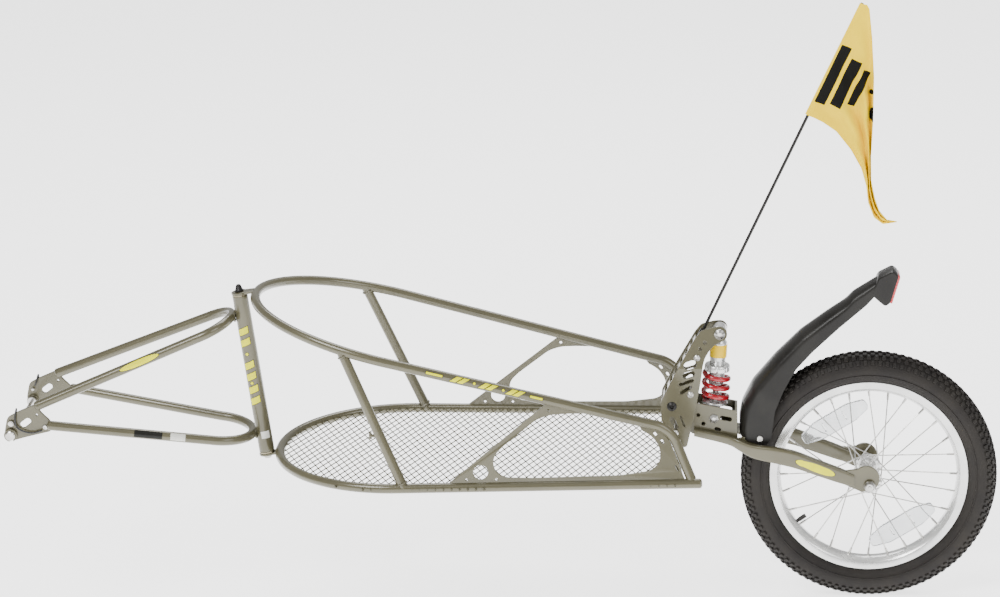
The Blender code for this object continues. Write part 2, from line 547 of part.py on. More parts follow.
def build_fender():
    crown = [(1.1675, -0.027), (1.1675, 0.000), (1.1715, 0.022), (1.188, 0.055), (1.224, 0.098)]
    crown += [(1.265, 0.139), (1.307, 0.170), (1.338, 0.191), (1.349, 0.203), (1.384, 0.225), (1.394, 0.230)]
    skirt = [(1.384, 0.200), (1.369, 0.184), (1.328, 0.150), (1.285, 0.111), (1.258, 0.082)]
    skirt += [(1.238, 0.046), (1.225, 0.013), (1.220, -0.024), (1.212, -0.034)]
    inner = [(1.150, -0.060), (1.1700, -0.060), (1.1700, 0.000), (1.1740, 0.021), (1.1905, 0.0535)]
    inner += [(1.226, 0.0960), (1.267, 0.1368), (1.3085, 0.1675), (1.3395, 0.1885), (1.3505, 0.2005)]
    inner += [(1.3920, 0.2265), (1.420, 0.200), (1.420, -0.060)]
    screw = circle(*FENDER_SCREW, 0.0027, 8)
    channel("fender", crown + skirt, inner, [screw], FENDER_HALF, FENDER_WALL, BLACK, ARM)
    for side, sign in SIDES:
        head = FENDER_HALF + GAP
        outline = [(0.0312, 0), (0.0312, 0.0023), (head, 0.0023), (head, 0.0050), (head + 0.002, 0.0042)]
        turned(f"fender_screw_{side}", outline + [(head + 0.002, 0)],
               Vector((FENDER_SCREW[0], 0, FENDER_SCREW[1])), (0, sign, 0), STEEL, ARM, steps=12)
    housing = [(1.3975, 0.2320), (1.4140, 0.2395), (1.4190, 0.2330), (1.4045, 0.1835), (1.3985, 0.1780)]
    housing += [(1.3875, 0.1880)]
    plate("reflector_housing", [housing], -0.0250, 0.0250, BLACK, ARM)
    lens = [(1.4193, 0.2330), (1.4230, 0.2300), (1.4085, 0.1810), (1.4048, 0.1835)]
    plate("reflector_lens", [lens], -0.0225, 0.0225, RED_LENS, ARM)


# ---------------------------------------------------------------- shock absorber
SHOCK_AXIS = (SHOCK_LOW - SHOCK_TOP).normalized()
SHOCK_LEN = (SHOCK_LOW - SHOCK_TOP).length
EYE_R, EYE_BORE, EYE_HALF = 0.0115, 0.0046, 0.012
BODY_R, BODY_END, ROD_R = 0.0125, 0.0880, 0.0050
COLLAR_AT, SPRING_AT, SPRING_END = 0.0560, 0.0703, 0.1140
WIRE_R, COIL_R, COILS = 0.0037, 0.0190, 3.6


def on_shock(name, outline, mat, frame, **extra):
    return turned(name, outline, SHOCK_TOP, SHOCK_AXIS, mat, frame, **extra)


def shock_eye(obj, centre, frame):
    """Join the eye that a bolt goes through, then drill it."""
    block = [(-EYE_HALF, 0), (-EYE_HALF, EYE_R), (EYE_HALF, EYE_R), (EYE_HALF, 0)]
    combine(obj, turned(obj.name + "_eye", block, centre, (0, 1, 0), ALLOY, frame, cutter=True), "UNION")
    drill = [(-0.02, 0), (-0.02, EYE_BORE), (0.02, EYE_BORE), (0.02, 0)]
    combine(obj, turned(obj.name + "_drill", drill, centre, (0, 1, 0), ALLOY, frame, cutter=True),
            "DIFFERENCE")


def build_shock():
    body = [(0.006, 0), (0.006, 0.0080), (0.018, 0.0135), (0.044, 0.0135), (0.048, BODY_R)]
    body += [(BODY_END, BODY_R), (BODY_END, ROD_R + GAP), (0.026, ROD_R + GAP), (0.026, 0)]
    shock_eye(on_shock("shock_body", body, ALLOY, SHOCK), SHOCK_TOP, SHOCK)
    ring = [(COLLAR_AT, BODY_R + GAP), (COLLAR_AT, 0.0205), (COLLAR_AT + 0.010, 0.0205)]
    on_shock("preload_collar", ring + [(COLLAR_AT + 0.010, BODY_R + GAP)], ALLOY, SHOCK, ring=True)
    seat = SHOCK_LEN - 0.0215
    rod = [(0.045, 0), (0.045, ROD_R), (0.105, ROD_R), (0.106, 0.0095), (0.113, 0.0095), (0.114, ROD_R)]
    rod += [(seat, ROD_R), (seat, 0.0205), (seat + 0.0035, 0.0205), (seat + 0.0045, 0.0090)]
    shock_eye(on_shock("shock_shaft", rod + [(SHOCK_LEN - 0.004, 0.0090), (SHOCK_LEN - 0.004, 0)], ALLOY, SHAFT),
              SHOCK_LOW, SHAFT)
    side = Vector((0, 1, 0))
    front = side.cross(SHOCK_AXIS)
    per_turn = 11
    count = round(COILS * per_turn)
    wire = []
    for i in range(count + 1):
        turn = 2 * math.pi * i / per_turn
        along = SPRING_AT + (SPRING_END - SPRING_AT) * i / count
        wire.append(SHOCK_TOP + SHOCK_AXIS * along + (side * math.cos(turn) + front * math.sin(turn)) * COIL_R)
    tube("shock_spring", wire, WIRE_R, RED_COAT, SHOCK)


# ---------------------------------------------------------------- wheel
def on_axle(name, outline, mat, frame, **extra):
    return turned(name, outline, WHEEL, (0, 1, 0), mat, frame, **extra)


def wheel_point(radius, angle, y=0.0):
    return WHEEL + Vector((radius * math.cos(angle), y, radius * math.sin(angle)))


def build_tyre_and_tube():
    outside = [(0, TYRE_R), (0.0110, 0.2038), (0.0205, 0.1975), (0.0258, 0.1860), (0.0255, 0.1740)]
    outside += [(0.0180, 0.1608), (0.0142, 0.1597), (0.0130, 0.1530)]
    inside = [(0.0095, 0.1530), (0.0115, 0.1595), (0.0205, 0.1700), (0.0225, 0.1800), (0.0195, 0.1915)]
    inside += [(0.0110, 0.1990), (0, 0.2005)]
    right = outside + inside
    left = [(-y, r) for y, r in reversed(right) if y > 0]
    on_axle("tyre", right + left, RUBBER, AXLE, steps=32, ring=True)
    ring = [(0.0178 * math.cos(a), 0.1787 + 0.0178 * math.sin(a)) for a in
            [2 * math.pi * i / 8 for i in range(8)]]
    inner = on_axle("inner_tube", ring, BLACK, AXLE, steps=28, ring=True)
    stem = [(0, 0), (0, 0.0036), (0.012, 0.0036), (0.014, 0.0030), (0.042, 0.0030), (0.042, 0)]
    valve = turned("valve_stem", stem, wheel_point(0.124, VALVE_ANGLE), wheel_point(1, VALVE_ANGLE) - WHEEL,
                   BLACK, AXLE, steps=10, cutter=True)
    combine(inner, valve, "UNION")


def build_rim():
    section = [(0.0085, RIM_IN), (0.0165, 0.1480), (0.0165, RIM_R), (0.0146, RIM_R), (0.0136, 0.1510)]
    section += [(0.0080, 0.1480), (-0.0080, 0.1480), (-0.0136, 0.1510), (-0.0146, RIM_R), (-0.0165, RIM_R)]
    section += [(-0.0165, 0.1480), (-0.0085, RIM_IN)]
    rim = on_axle("rim", section, ALLOY, AXLE, steps=36, ring=True)
    drill = [(0, 0), (0, 0.0042), (0.030, 0.0042), (0.030, 0)]
    hole = turned("valve_hole", drill, wheel_point(0.130, VALVE_ANGLE), wheel_point(1, VALVE_ANGLE) - WHEEL,
                  ALLOY, AXLE, steps=12, cutter=True)
    combine(rim, hole, "DIFFERENCE")


def build_hub():
    half = [(0.0445, 0.0052), (0.0445, 0.0100), (FLANGE_Y + 0.0016, 0.0115), (FLANGE_Y + 0.0015, FLANGE_R)]
    half += [(FLANGE_Y - 0.0015, FLANGE_R), (FLANGE_Y - 0.0025, 0.0130), (0.022, 0.0105)]
    section = half + [(-y, r) for y, r in reversed(half)]
    on_axle("hub_shell", section, ALLOY, AXLE, steps=18, ring=True)
    cone = [(0.0605, 0.0028), (0.0605, 0.0046), (0.0512, 0.0046), (0.0512, 0.0080), (0.0449, 0.0080)]
    cone += [(0.0449, 0.0046)]
    on_axle("hub_axle", cone + [(-y, r) for y, r in reversed(cone)], STEEL, ARM, steps=16, ring=True)
    rod = [(-0.0725, 0), (-0.0725, 0.0024), (0.0612, 0.0024), (0.0612, 0.0085), (0.0680, 0.0080), (0.0680, 0)]
    on_axle("skewer", rod, STEEL, ARM, steps=14)
    nut = [(-0.0608, 0.0027), (-0.0608, 0.0092), (-0.0640, 0.0092), (-0.0710, 0.0062), (-0.0710, 0.0027)]
    on_axle("qr_nut", nut, STEEL, ARM, steps=16, ring=True)


def build_lever():
    """The quick-release lever on the right, lying forwards along the leg."""
    lie = math.radians(158)
    shape = [(-0.0020, 0.0070), (0.0080, 0.0062), (0.030, 0.0045), (0.042, 0.0060), (0.046, 0.0030)]
    outline = [(s, -r) for s, r in shape] + [(s, r) for s, r in reversed(shape)]
    forward = Vector((math.cos(lie), 0, math.sin(lie)))
    upward = Vector((math.sin(lie), 0, -math.cos(lie)))
    base = WHEEL + Vector((0, LEVER_Y - 0.0020, 0))
    bm = plate_bm([outline], lambda u, v, w: base + forward * u + upward * v + Vector((0, w, 0)), 0.0040)
    attach("qr_lever", mesh_from(bm, "qr_lever", smooth=False), STEEL, LEVER)


def build_spokes(side, sign):
    """Fourteen spokes laced three-cross. They touch where they cross, which ties them together."""
    step = 2 * math.pi / SPOKES_A_SIDE
    sweep = CROSSES * step
    spokes = []
    for i in range(SPOKES_A_SIDE):
        start = i * step + (0 if sign < 0 else step / 2)
        lean = sweep if i % 2 == 0 else -sweep
        ends = [wheel_point(SPOKE_CIRCLE, start, sign * 0.0418),
                wheel_point(RIM_IN - 0.0020, start + lean, sign * 0.0030)]
        name = f"spokes_{side}" if i == 0 else f"spoke_{side}_{i}"
        spokes.append(bar(name, *ends, SPOKE_R, STEEL, AXLE, steps=5, cutter=i > 0))
    order = sorted(range(1, SPOKES_A_SIDE), key=lambda i: (i % 2 == 0, i))
    for i in order:
        combine(spokes[0], spokes[i], "UNION")


def build_wheel_reflectors():
    for label, angle in REFLECTOR_ANGLES:
        out = wheel_point(1, angle) - WHEEL
        along = Vector((0, 1, 0)).cross(out)
        middle = 0.104
        block = [(-0.058, -0.008), (-0.045, -0.013), (0.045, -0.013), (0.058, -0.008)]
        block += [(0.058, 0.008), (0.045, 0.013), (-0.045, 0.013), (-0.058, 0.008)]
        bm = plate_bm([block], lambda u, v, w: WHEEL + out * (middle + v) + along * u + Vector((0, w - 0.004, 0)),
                      0.008)
        name = f"wheel_reflector_{label}"
        attach(name, mesh_from(bm, name, smooth=False), CLEAR, AXLE)


# ---------------------------------------------------------------- the whole trailer
build_rails()
build_struts()
build_side_panels()
build_floor()
build_pivot()
build_fork()
build_mast()
build_flag()
build_arm()
build_fender()
build_shock()
build_tyre_and_tube()
build_rim()
build_hub()
build_lever()
for wheel_side, wheel_sign in SIDES:
    build_spokes(wheel_side, wheel_sign)
build_wheel_reflectors()
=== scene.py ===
# %% [markdown]
# # A single-wheel cargo trailer for a bicycle
# The trailer is a hoop-railed basket between a pivoting fork in front and a sprung wheel behind.
# The engineering model is loaded first. It fixes every place and size, and says what moves.
# Each lesson below makes one piece of the real object and hangs it on the body that carries it.

import math

import bmesh
import bpy
from mathutils import Matrix, Vector


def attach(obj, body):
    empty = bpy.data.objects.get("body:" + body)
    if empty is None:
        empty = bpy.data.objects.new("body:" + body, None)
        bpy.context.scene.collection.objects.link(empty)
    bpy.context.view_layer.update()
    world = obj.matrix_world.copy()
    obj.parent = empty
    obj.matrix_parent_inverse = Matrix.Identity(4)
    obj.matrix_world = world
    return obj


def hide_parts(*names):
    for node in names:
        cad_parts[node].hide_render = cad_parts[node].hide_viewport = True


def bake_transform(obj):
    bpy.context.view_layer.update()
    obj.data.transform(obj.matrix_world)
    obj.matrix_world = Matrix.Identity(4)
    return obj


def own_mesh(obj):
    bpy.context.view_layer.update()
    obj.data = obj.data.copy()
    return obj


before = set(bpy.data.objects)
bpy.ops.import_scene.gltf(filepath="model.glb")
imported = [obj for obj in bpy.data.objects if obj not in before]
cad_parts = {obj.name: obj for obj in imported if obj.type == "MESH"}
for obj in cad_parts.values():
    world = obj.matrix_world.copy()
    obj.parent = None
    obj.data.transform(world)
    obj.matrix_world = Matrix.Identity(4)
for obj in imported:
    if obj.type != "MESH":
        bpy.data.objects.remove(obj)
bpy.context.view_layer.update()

# %% [markdown]
# ## Camera, floor and light
# A product photograph like this uses a long lens a little above the object, a white sweep of
# paper, and large soft lamps. A long lens keeps the near and the far rail almost parallel.

# %% Camera
camera_data = bpy.data.cameras.new("camera")
camera_data.lens = 125.87
camera_data.sensor_width = 36.0
camera = bpy.data.objects.new("camera", camera_data)
camera_right = Vector((0.9972, 0.0698, -0.028)).normalized()
camera_back = Vector((0.0749, -0.9561, 0.2832)).normalized()
camera_up = camera_back.cross(camera_right).normalized()
turn = Matrix((camera_right, camera_up, camera_back)).transposed().to_4x4()
camera.matrix_world = Matrix.Translation((1.206, -5.348, 1.779)) @ turn
bpy.context.collection.objects.link(camera)
bpy.context.scene.camera = camera
print("lens", camera_data.lens)


# %% Floor and lamps
def set_inputs(node, **values):
    """Set a node's inputs by name. An underscore stands for a space."""
    for label, value in values.items():
        node.inputs[label.replace("_", " ")].default_value = value
    return node


def shader_of(mat):
    return mat.node_tree.nodes["Principled BSDF"]


def lamp(name, place, aim, size, power):
    data = bpy.data.lights.new(name, "AREA")
    data.size = size
    data.energy = power
    light = bpy.data.objects.new(name, data)
    light.location = place
    light.rotation_euler = (Vector(aim) - Vector(place)).to_track_quat("-Z", "Y").to_euler()
    bpy.context.collection.objects.link(light)


MIDDLE = (0.8, 0, 0)
lamp("key", (-1.2, -2.8, 3.8), MIDDLE, 2.0, 190)
lamp("fill", (3.8, -2.6, 2.6), MIDDLE, 2.0, 60)
lamp("back", (0.8, 2.4, 3.4), MIDDLE, 2.4, 110)
world = bpy.data.worlds.new("studio")
world.use_nodes = True
set_inputs(world.node_tree.nodes["Background"], Color=(1, 1, 1, 1), Strength=0.5)
bpy.context.scene.world = world

FLOOR_HEIGHT = -0.3087
bpy.ops.object.select_all(action="DESELECT")
bpy.ops.mesh.primitive_plane_add(size=80, location=(0.8, 10.0, FLOOR_HEIGHT))
floor = bpy.context.object
floor.name = "studio_floor"
paper = bpy.data.materials.new("white_paper")
paper.use_nodes = True
set_inputs(shader_of(paper), Base_Color=(0.93, 0.93, 0.93, 1), Roughness=0.9, Emission_Color=(1, 1, 1, 1),
           Emission_Strength=2.2)
floor.data.materials.append(paper)
print("floor at", FLOOR_HEIGHT)

# %% [markdown]
# ## Effects that several finishes share
# A real surface is never one flat colour. Two small node groups are built once and used by
# every finish: one lets the colour and the gloss drift over the surface, and one gives the
# fine grain of powder coat, moulded plastic or cast metal as a normal.


# %% Node groups
def new_group(name, sockets_in, sockets_out):
    group = bpy.data.node_groups.new(name, "ShaderNodeTree")
    for label, kind, value in sockets_in:
        socket = group.interface.new_socket(label, in_out="INPUT", socket_type=kind)
        if value is not None:
            socket.default_value = value
    for label, kind in sockets_out:
        group.interface.new_socket(label, in_out="OUTPUT", socket_type=kind)
    return group, group.nodes.new("NodeGroupInput"), group.nodes.new("NodeGroupOutput")


def noise_on_object(tree, detail):
    place = tree.nodes.new("ShaderNodeTexCoord")
    noise = set_inputs(tree.nodes.new("ShaderNodeTexNoise"), Detail=detail)
    tree.links.new(place.outputs["Object"], noise.inputs["Vector"])
    return noise


def drift_group():
    """Colour and gloss that wander: Colour and Shade mix by a soft noise, and so does Roughness."""
    sockets = [("Colour", "NodeSocketColor", None), ("Shade", "NodeSocketColor", None),
               ("Scale", "NodeSocketFloat", 8.0), ("Low", "NodeSocketFloat", 0.3),
               ("High", "NodeSocketFloat", 0.5)]
    group, enter, leave = new_group("drift", sockets, [("Colour", "NodeSocketColor"),
                                                       ("Roughness", "NodeSocketFloat")])
    noise = noise_on_object(group, 5.0)
    group.links.new(enter.outputs["Scale"], noise.inputs["Scale"])
    spread = set_inputs(group.nodes.new("ShaderNodeMapRange"), From_Min=0.35, From_Max=0.68)
    group.links.new(noise.outputs["Fac"], spread.inputs["Value"])
    mix = group.nodes.new("ShaderNodeMix")
    mix.data_type = "RGBA"
    group.links.new(spread.outputs["Result"], mix.inputs["Factor"])
    group.links.new(enter.outputs["Colour"], mix.inputs["A"])
    group.links.new(enter.outputs["Shade"], mix.inputs["B"])
    gloss = group.nodes.new("ShaderNodeMapRange")
    group.links.new(noise.outputs["Fac"], gloss.inputs["Value"])
    group.links.new(enter.outputs["Low"], gloss.inputs["To Min"])
    group.links.new(enter.outputs["High"], gloss.inputs["To Max"])
    group.links.new(mix.outputs["Result"], leave.inputs["Colour"])
    group.links.new(gloss.outputs["Result"], leave.inputs["Roughness"])
    return group


def grain_group():
    """Fine grain as a normal, from noise of a chosen scale and depth."""
    sockets = [("Scale", "NodeSocketFloat", 400.0), ("Strength", "NodeSocketFloat", 0.2)]
    group, enter, leave = new_group("grain", sockets, [("Normal", "NodeSocketVector")])
    noise = noise_on_object(group, 3.0)
    bump = set_inputs(group.nodes.new("ShaderNodeBump"), Distance=0.0004)
    group.links.new(enter.outputs["Scale"], noise.inputs["Scale"])
    group.links.new(enter.outputs["Strength"], bump.inputs["Strength"])
    group.links.new(noise.outputs["Fac"], bump.inputs["Height"])
    group.links.new(bump.outputs["Normal"], leave.inputs["Normal"])
    return group


DRIFT, GRAIN = drift_group(), grain_group()
print("groups:", DRIFT.name, GRAIN.name)

# %% [markdown]
# ## The finishes
# Each finish takes its own values for the shared groups. The frame wears a satin grey-beige
# powder coat, the bolts are zinc plated, the rim and the hub are polished alloy, the mudguard
# is moulded plastic, and the spring has a glossy red coat.


# %% Finishes
def group_node(mat, group, **values):
    node = mat.node_tree.nodes.new("ShaderNodeGroup")
    node.node_tree = group
    return set_inputs(node, **values)


def finish(name, colour, shade, scale, low, high, grain, strength, metallic=0.0, coat=0.0):
    mat = bpy.data.materials.new(name)
    mat.use_nodes = True
    shader = set_inputs(shader_of(mat), Metallic=metallic, Coat_Weight=coat, Coat_Roughness=0.15)
    drift = group_node(mat, DRIFT, Colour=(*colour, 1), Shade=(*shade, 1), Scale=scale, Low=low, High=high)
    texture = group_node(mat, GRAIN, Scale=grain, Strength=strength)
    links = mat.node_tree.links
    links.new(drift.outputs["Colour"], shader.inputs["Base Color"])
    links.new(drift.outputs["Roughness"], shader.inputs["Roughness"])
    links.new(texture.outputs["Normal"], shader.inputs["Normal"])
    return mat


powder_coat = finish("powder_coat", (0.104, 0.094, 0.052), (0.086, 0.078, 0.042), 14, 0.24, 0.36, 900, 0.06,
                     metallic=0.2, coat=0.55)
zinc_plate = finish("zinc_plate", (0.62, 0.61, 0.58), (0.45, 0.44, 0.42), 60, 0.18, 0.4, 700, 0.12, metallic=1.0)
turned_alloy = finish("turned_alloy", (0.8, 0.8, 0.79), (0.66, 0.66, 0.65), 30, 0.2, 0.34, 600, 0.06,
                        metallic=0.75)
moulded_black = finish("moulded_black", (0.011, 0.01, 0.009), (0.018, 0.017, 0.015), 22, 0.24, 0.38, 1600, 0.2)
cord_black = finish("cord_black", (0.012, 0.012, 0.012), (0.02, 0.02, 0.02), 120, 0.4, 0.6, 2500, 0.25)
black_rubber = finish("black_rubber", (0.013, 0.011, 0.01), (0.022, 0.019, 0.016), 26, 0.48, 0.7, 900, 0.4)
red_coat = finish("red_coat", (0.36, 0.003, 0.012), (0.28, 0.002, 0.009), 30, 0.16, 0.28, 500, 0.04, coat=0.6)
ruby_lens = finish("ruby_lens", (0.6, 0.004, 0.01), (0.5, 0.003, 0.008), 40, 0.08, 0.18, 300, 0.1, coat=0.8)
yellow_mark = finish("yellow_mark", (0.78, 0.76, 0.0), (0.7, 0.68, 0.0), 50, 0.3, 0.42, 900, 0.05)
black_mark = finish("black_mark", (0.008, 0.008, 0.006), (0.012, 0.012, 0.01), 50, 0.3, 0.42, 900, 0.05)
white_mark = finish("white_mark", (0.68, 0.68, 0.62), (0.6, 0.6, 0.55), 50, 0.3, 0.42, 900, 0.05)
yellow_band = finish("yellow_band", (0.86, 0.56, 0.0), (0.78, 0.5, 0.0), 50, 0.25, 0.38, 900, 0.05)
bronze = finish("bronze", (0.3, 0.27, 0.19), (0.22, 0.19, 0.13), 60, 0.3, 0.5, 1500, 0.2, metallic=1.0)
for dull in (moulded_black, black_rubber, yellow_mark, black_mark, yellow_band):
    set_inputs(shader_of(dull), Specular_IOR_Level=0.22)
print(len(bpy.data.materials), "materials so far")

# %% [markdown]
# Clear plastic needs two things: light that passes through, and a back full of tiny prisms.
# The prisms are a bump made by two crossed waves, which glint as the real ones do.


# %% Prismatic plastics
def turned_place(mat, **values):
    """Object coordinates through a mapping node, which takes the values given."""
    nodes = mat.node_tree.nodes
    mapping = nodes.new("ShaderNodeMapping")
    place = nodes.new("ShaderNodeTexCoord")
    mat.node_tree.links.new(place.outputs["Object"], mapping.inputs["Vector"])
    return set_inputs(mapping, **values)


def prisms(mat, scale, strength, tilt):
    """Add a crossed-wave prism bump, which takes the place of the finish's own grain normal."""
    nodes, links = mat.node_tree.nodes, mat.node_tree.links
    place = turned_place(mat, Rotation=tilt)
    total = nodes.new("ShaderNodeMath")
    total.operation = "ADD"
    for i, direction in enumerate(("X", "Z")):
        wave = nodes.new("ShaderNodeTexWave")
        wave.bands_direction = direction
        set_inputs(wave, Scale=scale)
        links.new(place.outputs["Vector"], wave.inputs["Vector"])
        links.new(wave.outputs["Fac"], total.inputs[i])
    bump = set_inputs(nodes.new("ShaderNodeBump"), Strength=strength, Distance=0.001)
    links.new(total.outputs["Value"], bump.inputs["Height"])
    links.new(bump.outputs["Normal"], shader_of(mat).inputs["Normal"])


prism_lens = finish("prism_lens", (0.86, 0.87, 0.88), (0.74, 0.76, 0.77), 40, 0.06, 0.16, 300, 0.1)
set_inputs(shader_of(prism_lens), Transmission_Weight=0.8)
prisms(prism_lens, 26.0, 0.35, (0, 0.6, 0))
prisms(ruby_lens, 60.0, 0.5, (0, -0.28, 0))
print("prisms on", prism_lens.name, ruby_lens.name)

# %% [markdown]
# ## Ways of making a piece
# Five habits make nearly everything here. A sheet part starts as a flat filled outline with its
# holes, because a laser cuts it so. A round part is one profile spun about its axis. A tube is
# a curve with a round section. A moulded part is a grid whose points are laid on its surface.
# What repeats is made once and copied. Side-view points are (x, z) pairs in metres.


# %% Selection and modifiers
SIDEWAYS = Vector((0, 1, 0))
ACROSS = Matrix.Scale(-1, 4, SIDEWAYS)


def deselect():
    if bpy.context.object and bpy.context.object.mode != "OBJECT":
        bpy.ops.object.mode_set(mode="OBJECT")
    bpy.ops.object.select_all(action="DESELECT")


def pick(obj):
    deselect()
    obj.select_set(True)
    bpy.context.view_layer.objects.active = obj
    return obj


def settle(obj):
    """Put an object's place into its mesh, so that the object itself sits at the origin."""
    pick(obj)
    bpy.ops.object.transform_apply(location=True, rotation=True, scale=True)
    return obj


def modify(obj, kind, **settings):
    pick(obj)
    modifier = obj.modifiers.new(kind.lower(), kind)
    for label, value in settings.items():
        setattr(modifier, label, value)
    bpy.ops.object.modifier_apply(modifier=modifier.name)
    return obj


def smooth(obj, angle=32):
    """Smooth shading, with a real edge wherever faces meet at more than angle degrees."""
    pick(obj)
    bpy.ops.object.shade_smooth_by_angle(angle=math.radians(angle))
    return obj


def edit(obj, *steps):
    """Run each step in edit mode, with the whole mesh selected at the start."""
    pick(obj)
    bpy.ops.object.mode_set(mode="EDIT")
    bpy.ops.mesh.select_all(action="SELECT")
    for step in steps:
        step()
    bpy.ops.object.mode_set(mode="OBJECT")
    return obj


def merge_doubles():
    bpy.ops.mesh.remove_doubles(threshold=1e-6)


def face_outwards():
    bpy.ops.mesh.normals_make_consistent(inside=False)


def close_up(obj, angle=32):
    """Merge doubled points, turn the faces outwards, and smooth all but the real edges."""
    return smooth(edit(obj, merge_doubles, face_outwards), angle)


def add_object(name, data):
    obj = bpy.data.objects.new(name, data)
    bpy.context.collection.objects.link(obj)
    return obj


# %% Sheets, spun parts, tubes and moulded skins
def soften(points, radius, steps=4):
    """Round every corner of an outline."""
    out = []
    for i, point in enumerate(points):
        corner = Vector(point)
        before, after = Vector(points[i - 1]) - corner, Vector(points[(i + 1) % len(points)]) - corner
        cut = min(radius, before.length * 0.45, after.length * 0.45)
        first, last = corner + before.normalized() * cut, corner + after.normalized() * cut
        for k in range(steps + 1):
            t = k / steps
            out.append(tuple(first * (1 - t) ** 2 + corner * 2 * t * (1 - t) + last * t * t))
    return out


def ring(x, z, r, count=24):
    return [(x + r * math.cos(2 * math.pi * i / count), z + r * math.sin(2 * math.pi * i / count))
            for i in range(count)]


def arc(x, z, r, first, last, count):
    angles = [math.radians(first + (last - first) * i / (count - 1)) for i in range(count)]
    return [(x + r * math.cos(a), z + r * math.sin(a)) for a in angles]


def slot(x0, z0, x1, z1, r, count=8):
    along = math.degrees(math.atan2(z1 - z0, x1 - x0))
    return arc(x0, z0, r, along + 90, along + 270, count) + arc(x1, z1, r, along - 90, along + 90, count)


def sheet_part(name, loops, y0, y1, edge=0.0004):
    """A cut sheet in the x-z plane: the first loop is its outline and the others are holes."""
    data = bpy.data.curves.new(name, "CURVE")
    data.dimensions = "2D"
    data.fill_mode = "BOTH"
    data.extrude = (y1 - y0) / 2 - edge
    data.bevel_depth = edge
    data.bevel_resolution = 1
    for loop in loops:
        spline = data.splines.new("POLY")
        spline.points.add(len(loop) - 1)
        for p, (x, z) in zip(spline.points, loop):
            p.co = (x, z, 0, 1)
        spline.use_cyclic_u = True
    obj = pick(add_object(name, data))
    obj.rotation_euler = (math.pi / 2, 0, 0)
    obj.location = (0, (y0 + y1) / 2, 0)
    bpy.ops.object.convert(target="MESH")
    sheet = close_up(settle(bpy.context.object))
    for face in sheet.data.polygons:
        face.use_smooth = face.use_smooth and abs(face.normal.y) < 0.999
    return sheet


def spun(name, profile, base, axis=SIDEWAYS, sides=48, closed=False):
    """A round part: profile holds (distance along the axis, radius) pairs."""
    base, axis = Vector(base), Vector(axis).normalized()
    out = axis.orthogonal().normalized()
    points = [base + axis * s + out * r for s, r in profile]
    edges = [(i, i + 1) for i in range(len(points) - 1)]
    if closed:
        edges.append((len(points) - 1, 0))
    data = bpy.data.meshes.new(name)
    data.from_pydata(points, edges, [])
    obj = add_object(name, data)
    edit(obj, lambda: bpy.ops.mesh.spin(steps=sides, angle=2 * math.pi, center=base, axis=axis))
    return close_up(obj)


def tube(name, points, radius, resolution=8):
    """A bent round bar along a list of points."""
    data = bpy.data.curves.new(name, "CURVE")
    data.dimensions = "3D"
    data.bevel_depth = radius
    data.bevel_resolution = resolution
    data.use_fill_caps = True
    spline = data.splines.new("POLY")
    spline.points.add(len(points) - 1)
    for p, co in zip(spline.points, points):
        p.co = (*co, 1)
    pick(add_object(name, data))
    bpy.ops.object.convert(target="MESH")
    return close_up(bpy.context.object, angle=40)


def cap_ends():
    """Fill a skin's two open ends."""
    bpy.ops.mesh.select_all(action="DESELECT")
    bpy.ops.mesh.select_non_manifold()
    bpy.ops.mesh.edge_face_add()


def skin(name, columns, rows, place):
    """A grid of columns by rows points, each laid at place(column, row)."""
    deselect()
    bpy.ops.mesh.primitive_grid_add(x_subdivisions=columns - 1, y_subdivisions=rows - 1, size=2)
    obj = bpy.context.object
    obj.name = name
    for i, v in enumerate(obj.data.vertices):
        v.co = place(i % columns, i // columns)
    return obj


def face_towards(obj, direction):
    """Turn an open skin over if its middle face looks away from direction."""
    middle = obj.data.polygons[len(obj.data.polygons) // 2]
    if middle.normal.dot(Vector(direction)) < 0:
        obj.data.flip_normals()


def join(name, pieces):
    deselect()
    for piece in pieces:
        piece.select_set(True)
    bpy.context.view_layer.objects.active = pieces[0]
    bpy.ops.object.join()
    pieces[0].name = name
    return pieces[0]


def copy_of(obj, name, matrix):
    """A second piece with its own mesh, moved by a matrix. A mirror image keeps its faces outwards."""
    twin = obj.copy()
    twin.data = obj.data.copy()
    twin.name = name
    bpy.context.collection.objects.link(twin)
    twin.data.transform(matrix)
    if matrix.determinant() < 0:
        twin.data.flip_normals()
    return twin


def around(obj, name, matrices):
    """One mesh that holds a copy of obj's mesh for every matrix."""
    shape = bmesh.new()
    for matrix in matrices:
        one = obj.data.copy()
        one.transform(matrix)
        shape.from_mesh(one)
    data = bpy.data.meshes.new(name)
    shape.to_mesh(data)
    shape.free()
    copies = add_object(name, data)
    bpy.data.objects.remove(obj)
    return smooth(copies)


def cut_away(obj, cutter):
    """Take the cutter's shape out of a piece, and remove the cutter."""
    modify(obj, "BOOLEAN", operation="DIFFERENCE", object=cutter, solver="EXACT")
    bpy.data.objects.remove(cutter)
    return obj


def hang(obj, mat, body, *nodes):
    """Give a piece its finish, let it ride on its body, and let it stand for its nodes."""
    obj.data.materials.clear()
    obj.data.materials.append(mat)
    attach(obj, body)
    if nodes:
        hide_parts(*nodes)
    print(f"{obj.name}: {len(obj.data.polygons)} faces on {body}")
    return obj


def hang_both(right, left_name, mat, body, right_node, left_node):
    """Hang a piece of the right side, and its mirror image on the left."""
    left = copy_of(right, left_name, ACROSS)
    hang(right, mat, body, right_node)
    hang(left, mat, body, left_node)


def dress(node, mat):
    """A node whose shape is right keeps it, and gets a finish."""
    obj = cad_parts[node]
    obj.data.materials.clear()
    obj.data.materials.append(mat)


# %% [markdown]
# ## The basket's two rails
# Both rails are single lengths of tube, bent into a hoop in front. The lower one lies flat and
# carries the floor. The upper one slopes down to the rear and turns down to meet it there. The
# shape is a rule, half an ellipse and then a straight side, so the curve is written as a rule.

